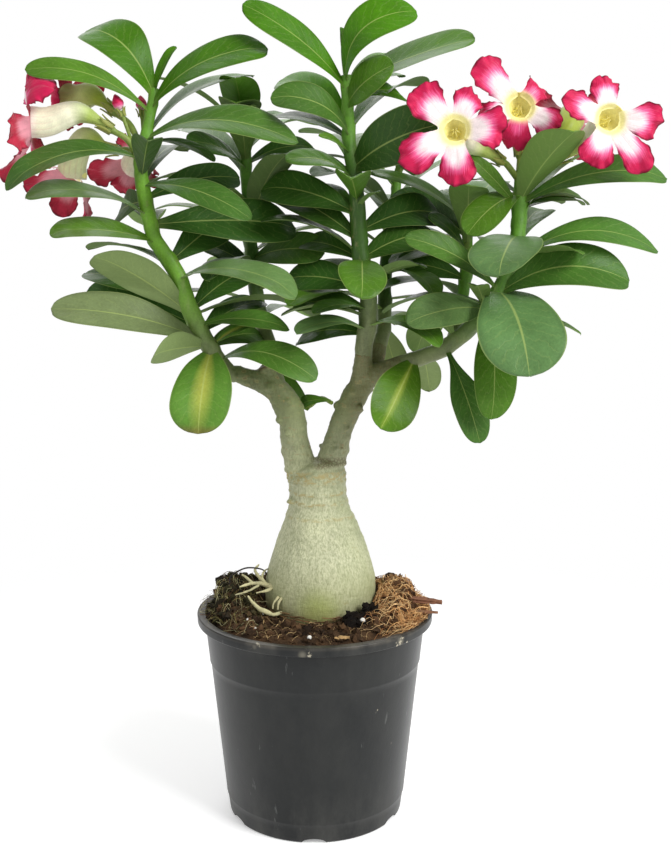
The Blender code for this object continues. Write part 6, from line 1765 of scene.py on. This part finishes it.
def addFibre(shape, dice, x, y, length, lift, colour, width):
    # a thin curved fibre on the ground, its middle raised by lift
    thin, thick = fibres[width]
    heading, bend = dice.uniform(0, 6.28), dice.uniform(-1, 1) * fibres["curl"] * length / 20
    radius = thin + (thick - thin) * dice.random() ** 2
    stations = []
    steps = 8 if length < 18 else 12
    for k in range(steps):
        t = k / (steps - 1)
        ground = surfacePoint(x, y) if hypot(x, y) < soil["inside"] else max(surfacePoint(x, y), 131.8)
        stations.append((x, y, ground + lift * sin(pi * t) + 0.3, radius * (1 - 0.5 * t)))
        heading += bend / steps + dice.uniform(-0.22, 0.22)
        x += cos(heading) * length / steps
        y += sin(heading) * length / steps
        if fromHole(x, y) < 37.2 or hypot(x, y) > 73.5:
            heading += 1.2
            x, y = stations[-1][0] + cos(heading) * 0.8, stations[-1][1] + sin(heading) * 0.8
    shape.addTube(ringsAlong(np.array(stations), fibres["sides"]), np.array(colour) * dice.uniform(0.6, 1.15))


def makeFibres():
    dice = random.Random(33)
    shape = Gathered()
    placed = 0
    while placed < fibres["coir"]:
        x, y = 53 + dice.gauss(0, 10), dice.gauss(-8, 21)
        onTop = y > 4 and x < 56 and dice.random() < 0.6
        if onTop or hypot(x, y) > 71 or fromHole(x, y) < 38 or coirShare(x, y) < 0.3:
            continue
        placed += 1
        length, lift = dice.uniform(*fibres["length"]), dice.random() ** 2 * 6.5
        addFibre(shape, dice, x, y, length, lift, dice.choice(fibres["golden"]), "thick")
    settle(shape.build("coirFibres", [coirFibre]), "potting_soil")
    # finer litter and rootlets over the rest, thickest on the left heap
    shape = Gathered()
    for k in range(fibres["ground"] + fibres["heap"]):
        onGround = k < fibres["ground"]
        if onGround:
            turn, radius = dice.uniform(0, 6.28), dice.uniform(38.5, 66)
            x, y = radius * cos(turn) + 2, radius * sin(turn)
        else:
            x, y = dice.gauss(-52, 9), dice.gauss(-4, 19)
        # no litter lies on the painted shade by the hollow
        if hypot(x, y) > 68 or fromHole(x, y) < 38 or fromHollow(x, y) < soil["hollow"][2]:
            continue
        shortest, longest, most, paints = (4, 16, 3, "litter") if onGround else (6, 24, 7, "roots")
        length, lift = dice.uniform(shortest, longest), dice.random() ** 2 * most
        addFibre(shape, dice, x, y, length, lift, dice.choice(fibres[paints]), "thin")
    shape.addCurve(fibres["wire"], 1.2, 8, fibres["wirePaint"])
    # a band of brown fibre round the caudex's foot
    for k in range(fibres["bandCount"]):
        turn, sweep = radians(dice.uniform(200, 345)), radians(dice.uniform(12, 34))
        radius = fibres["bandRadius"] + dice.uniform(0, 1.6)
        height = fibres["bandHeight"] + dice.uniform(-1.5, 3)
        rows = [(soil["holeX"] + radius * cos(turn + sweep * t), radius * sin(turn + sweep * t),
                 height + sin(3 * t + k) * 0.8, 0.3) for t in (0, 0.25, 0.5, 0.75, 1)]
        shape.addCurve(rows, 2, 5, np.array(fibres["bandPaint"]) * dice.uniform(0.5, 1.2))
    settle(shape.build("litterFibres", [coirFibre]), "potting_soil")


# the placed ones: x, y, size and how far up they lie
beads = {"placed": ((29.6, -44, 1.6, 3), (-2.3, -62, 1.5, 0), (-60.6, -25, 1.4, 0)), "loose": 14, "size": (0.7, 1.3)}


def makeBeads():
    dice = random.Random(5)
    ball = roundBall(3)
    shape = Gathered()
    spots = list(beads["placed"])
    for _ in range(beads["loose"]):
        turn, radius = dice.uniform(0, 6.28), dice.uniform(42, 64)
        spots.append((radius * cos(turn) + 2, radius * sin(turn), dice.uniform(*beads["size"]), 0))
    for k, (x, y, size, lift) in enumerate(spots):
        away = fromHole(x, y)
        if away < 37.5 + size:
            x, y = soil["holeX"] + (x - soil["holeX"]) * (37.6 + size) / away, y * (37.6 + size) / away
        at = (x, y, surfacePoint(x, y) + lift + 0.8 * size)
        shape.addClod(ball, at, size, 1.1 * k, 0.25, stretch=(1, 0.9, 0.85))
    settle(shape.build("perliteBeads", [perliteBead]), "potting_soil")


# start, end, width, height and colour
chips = (
    ((58, -14, 134), (80, -14, 139.5), 6, 3.4, paint(124, 84, 62)),
    ((60, -20, 133), (77, -19, 134.6), 4, 1.8, paint(140, 100, 74)),
    ((12.5, -62, 132.8), (21.5, -62, 133.4), 4.2, 1.6, paint(186, 152, 104)),
    ((-30, -52, 133), (-38, -47, 134.4), 3.6, 1.5, paint(110, 76, 50)),
    ((-16, 56, 138), (-26, 51, 138.6), 4.6, 1.9, paint(120, 82, 52)),
    ((22, 52, 140), (33, 49, 139), 4, 1.7, paint(128, 88, 54)),
)


def makeChips():
    dice = random.Random(9)
    shape = Gathered()
    for k, (start, end, width, height, colour) in enumerate(chips):
        start, end = vec(start), vec(end)
        for at in (start, end):  # rests on the ground or on the rim
            onRim = hypot(at[0], at[1]) >= soil["inside"]
            at[2] = max(at[2], pot["height"] + 0.5 * height if onRim else surfacePoint(at[0], at[1]) + 0.35 * height)
        way = unit(end - start)
        side = unit(np.cross((0, 0, 1), way))
        over = np.cross(way, side)
        corners = [dice.uniform(0.75, 1.15) for _ in range(14)]
        rings = []
        for share in np.linspace(0, 1, 22):
            centre = start + (end - start) * share
            taper = 0.55 + 0.45 * sin(pi * min(0.94, share + 0.12)) ** 0.6
            ring = []
            for i, corner in enumerate(corners):
                a = 2 * pi * i / len(corners)
                ragged = corner * (1 + 0.22 * bumpAt((share * 6, i * 0.9, k), 1, k))
                c, s = (copysign(abs(c) ** 0.6, c) for c in (cos(a), sin(a)))
                ring.append(centre + side * c * width / 2 * taper * ragged + over * s * height / 2 * taper * ragged)
            rings.append(ring)
        shape.addTube(np.array(rings), colour)
    settle(shape.build("barkChips", [chipBark], 40), "bark_chip", "bark_chip")


makeSoil()
makeClods()
makeFibres()
makeBeads()
makeChips()
print("soil made")

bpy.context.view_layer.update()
pieces = [piece for piece in scene.objects if piece.type == "MESH" and piece.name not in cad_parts]
triangles = sum(len(face.vertices) - 2 for piece in pieces for face in piece.data.polygons)
print("triangles in all: %d" % triangles)
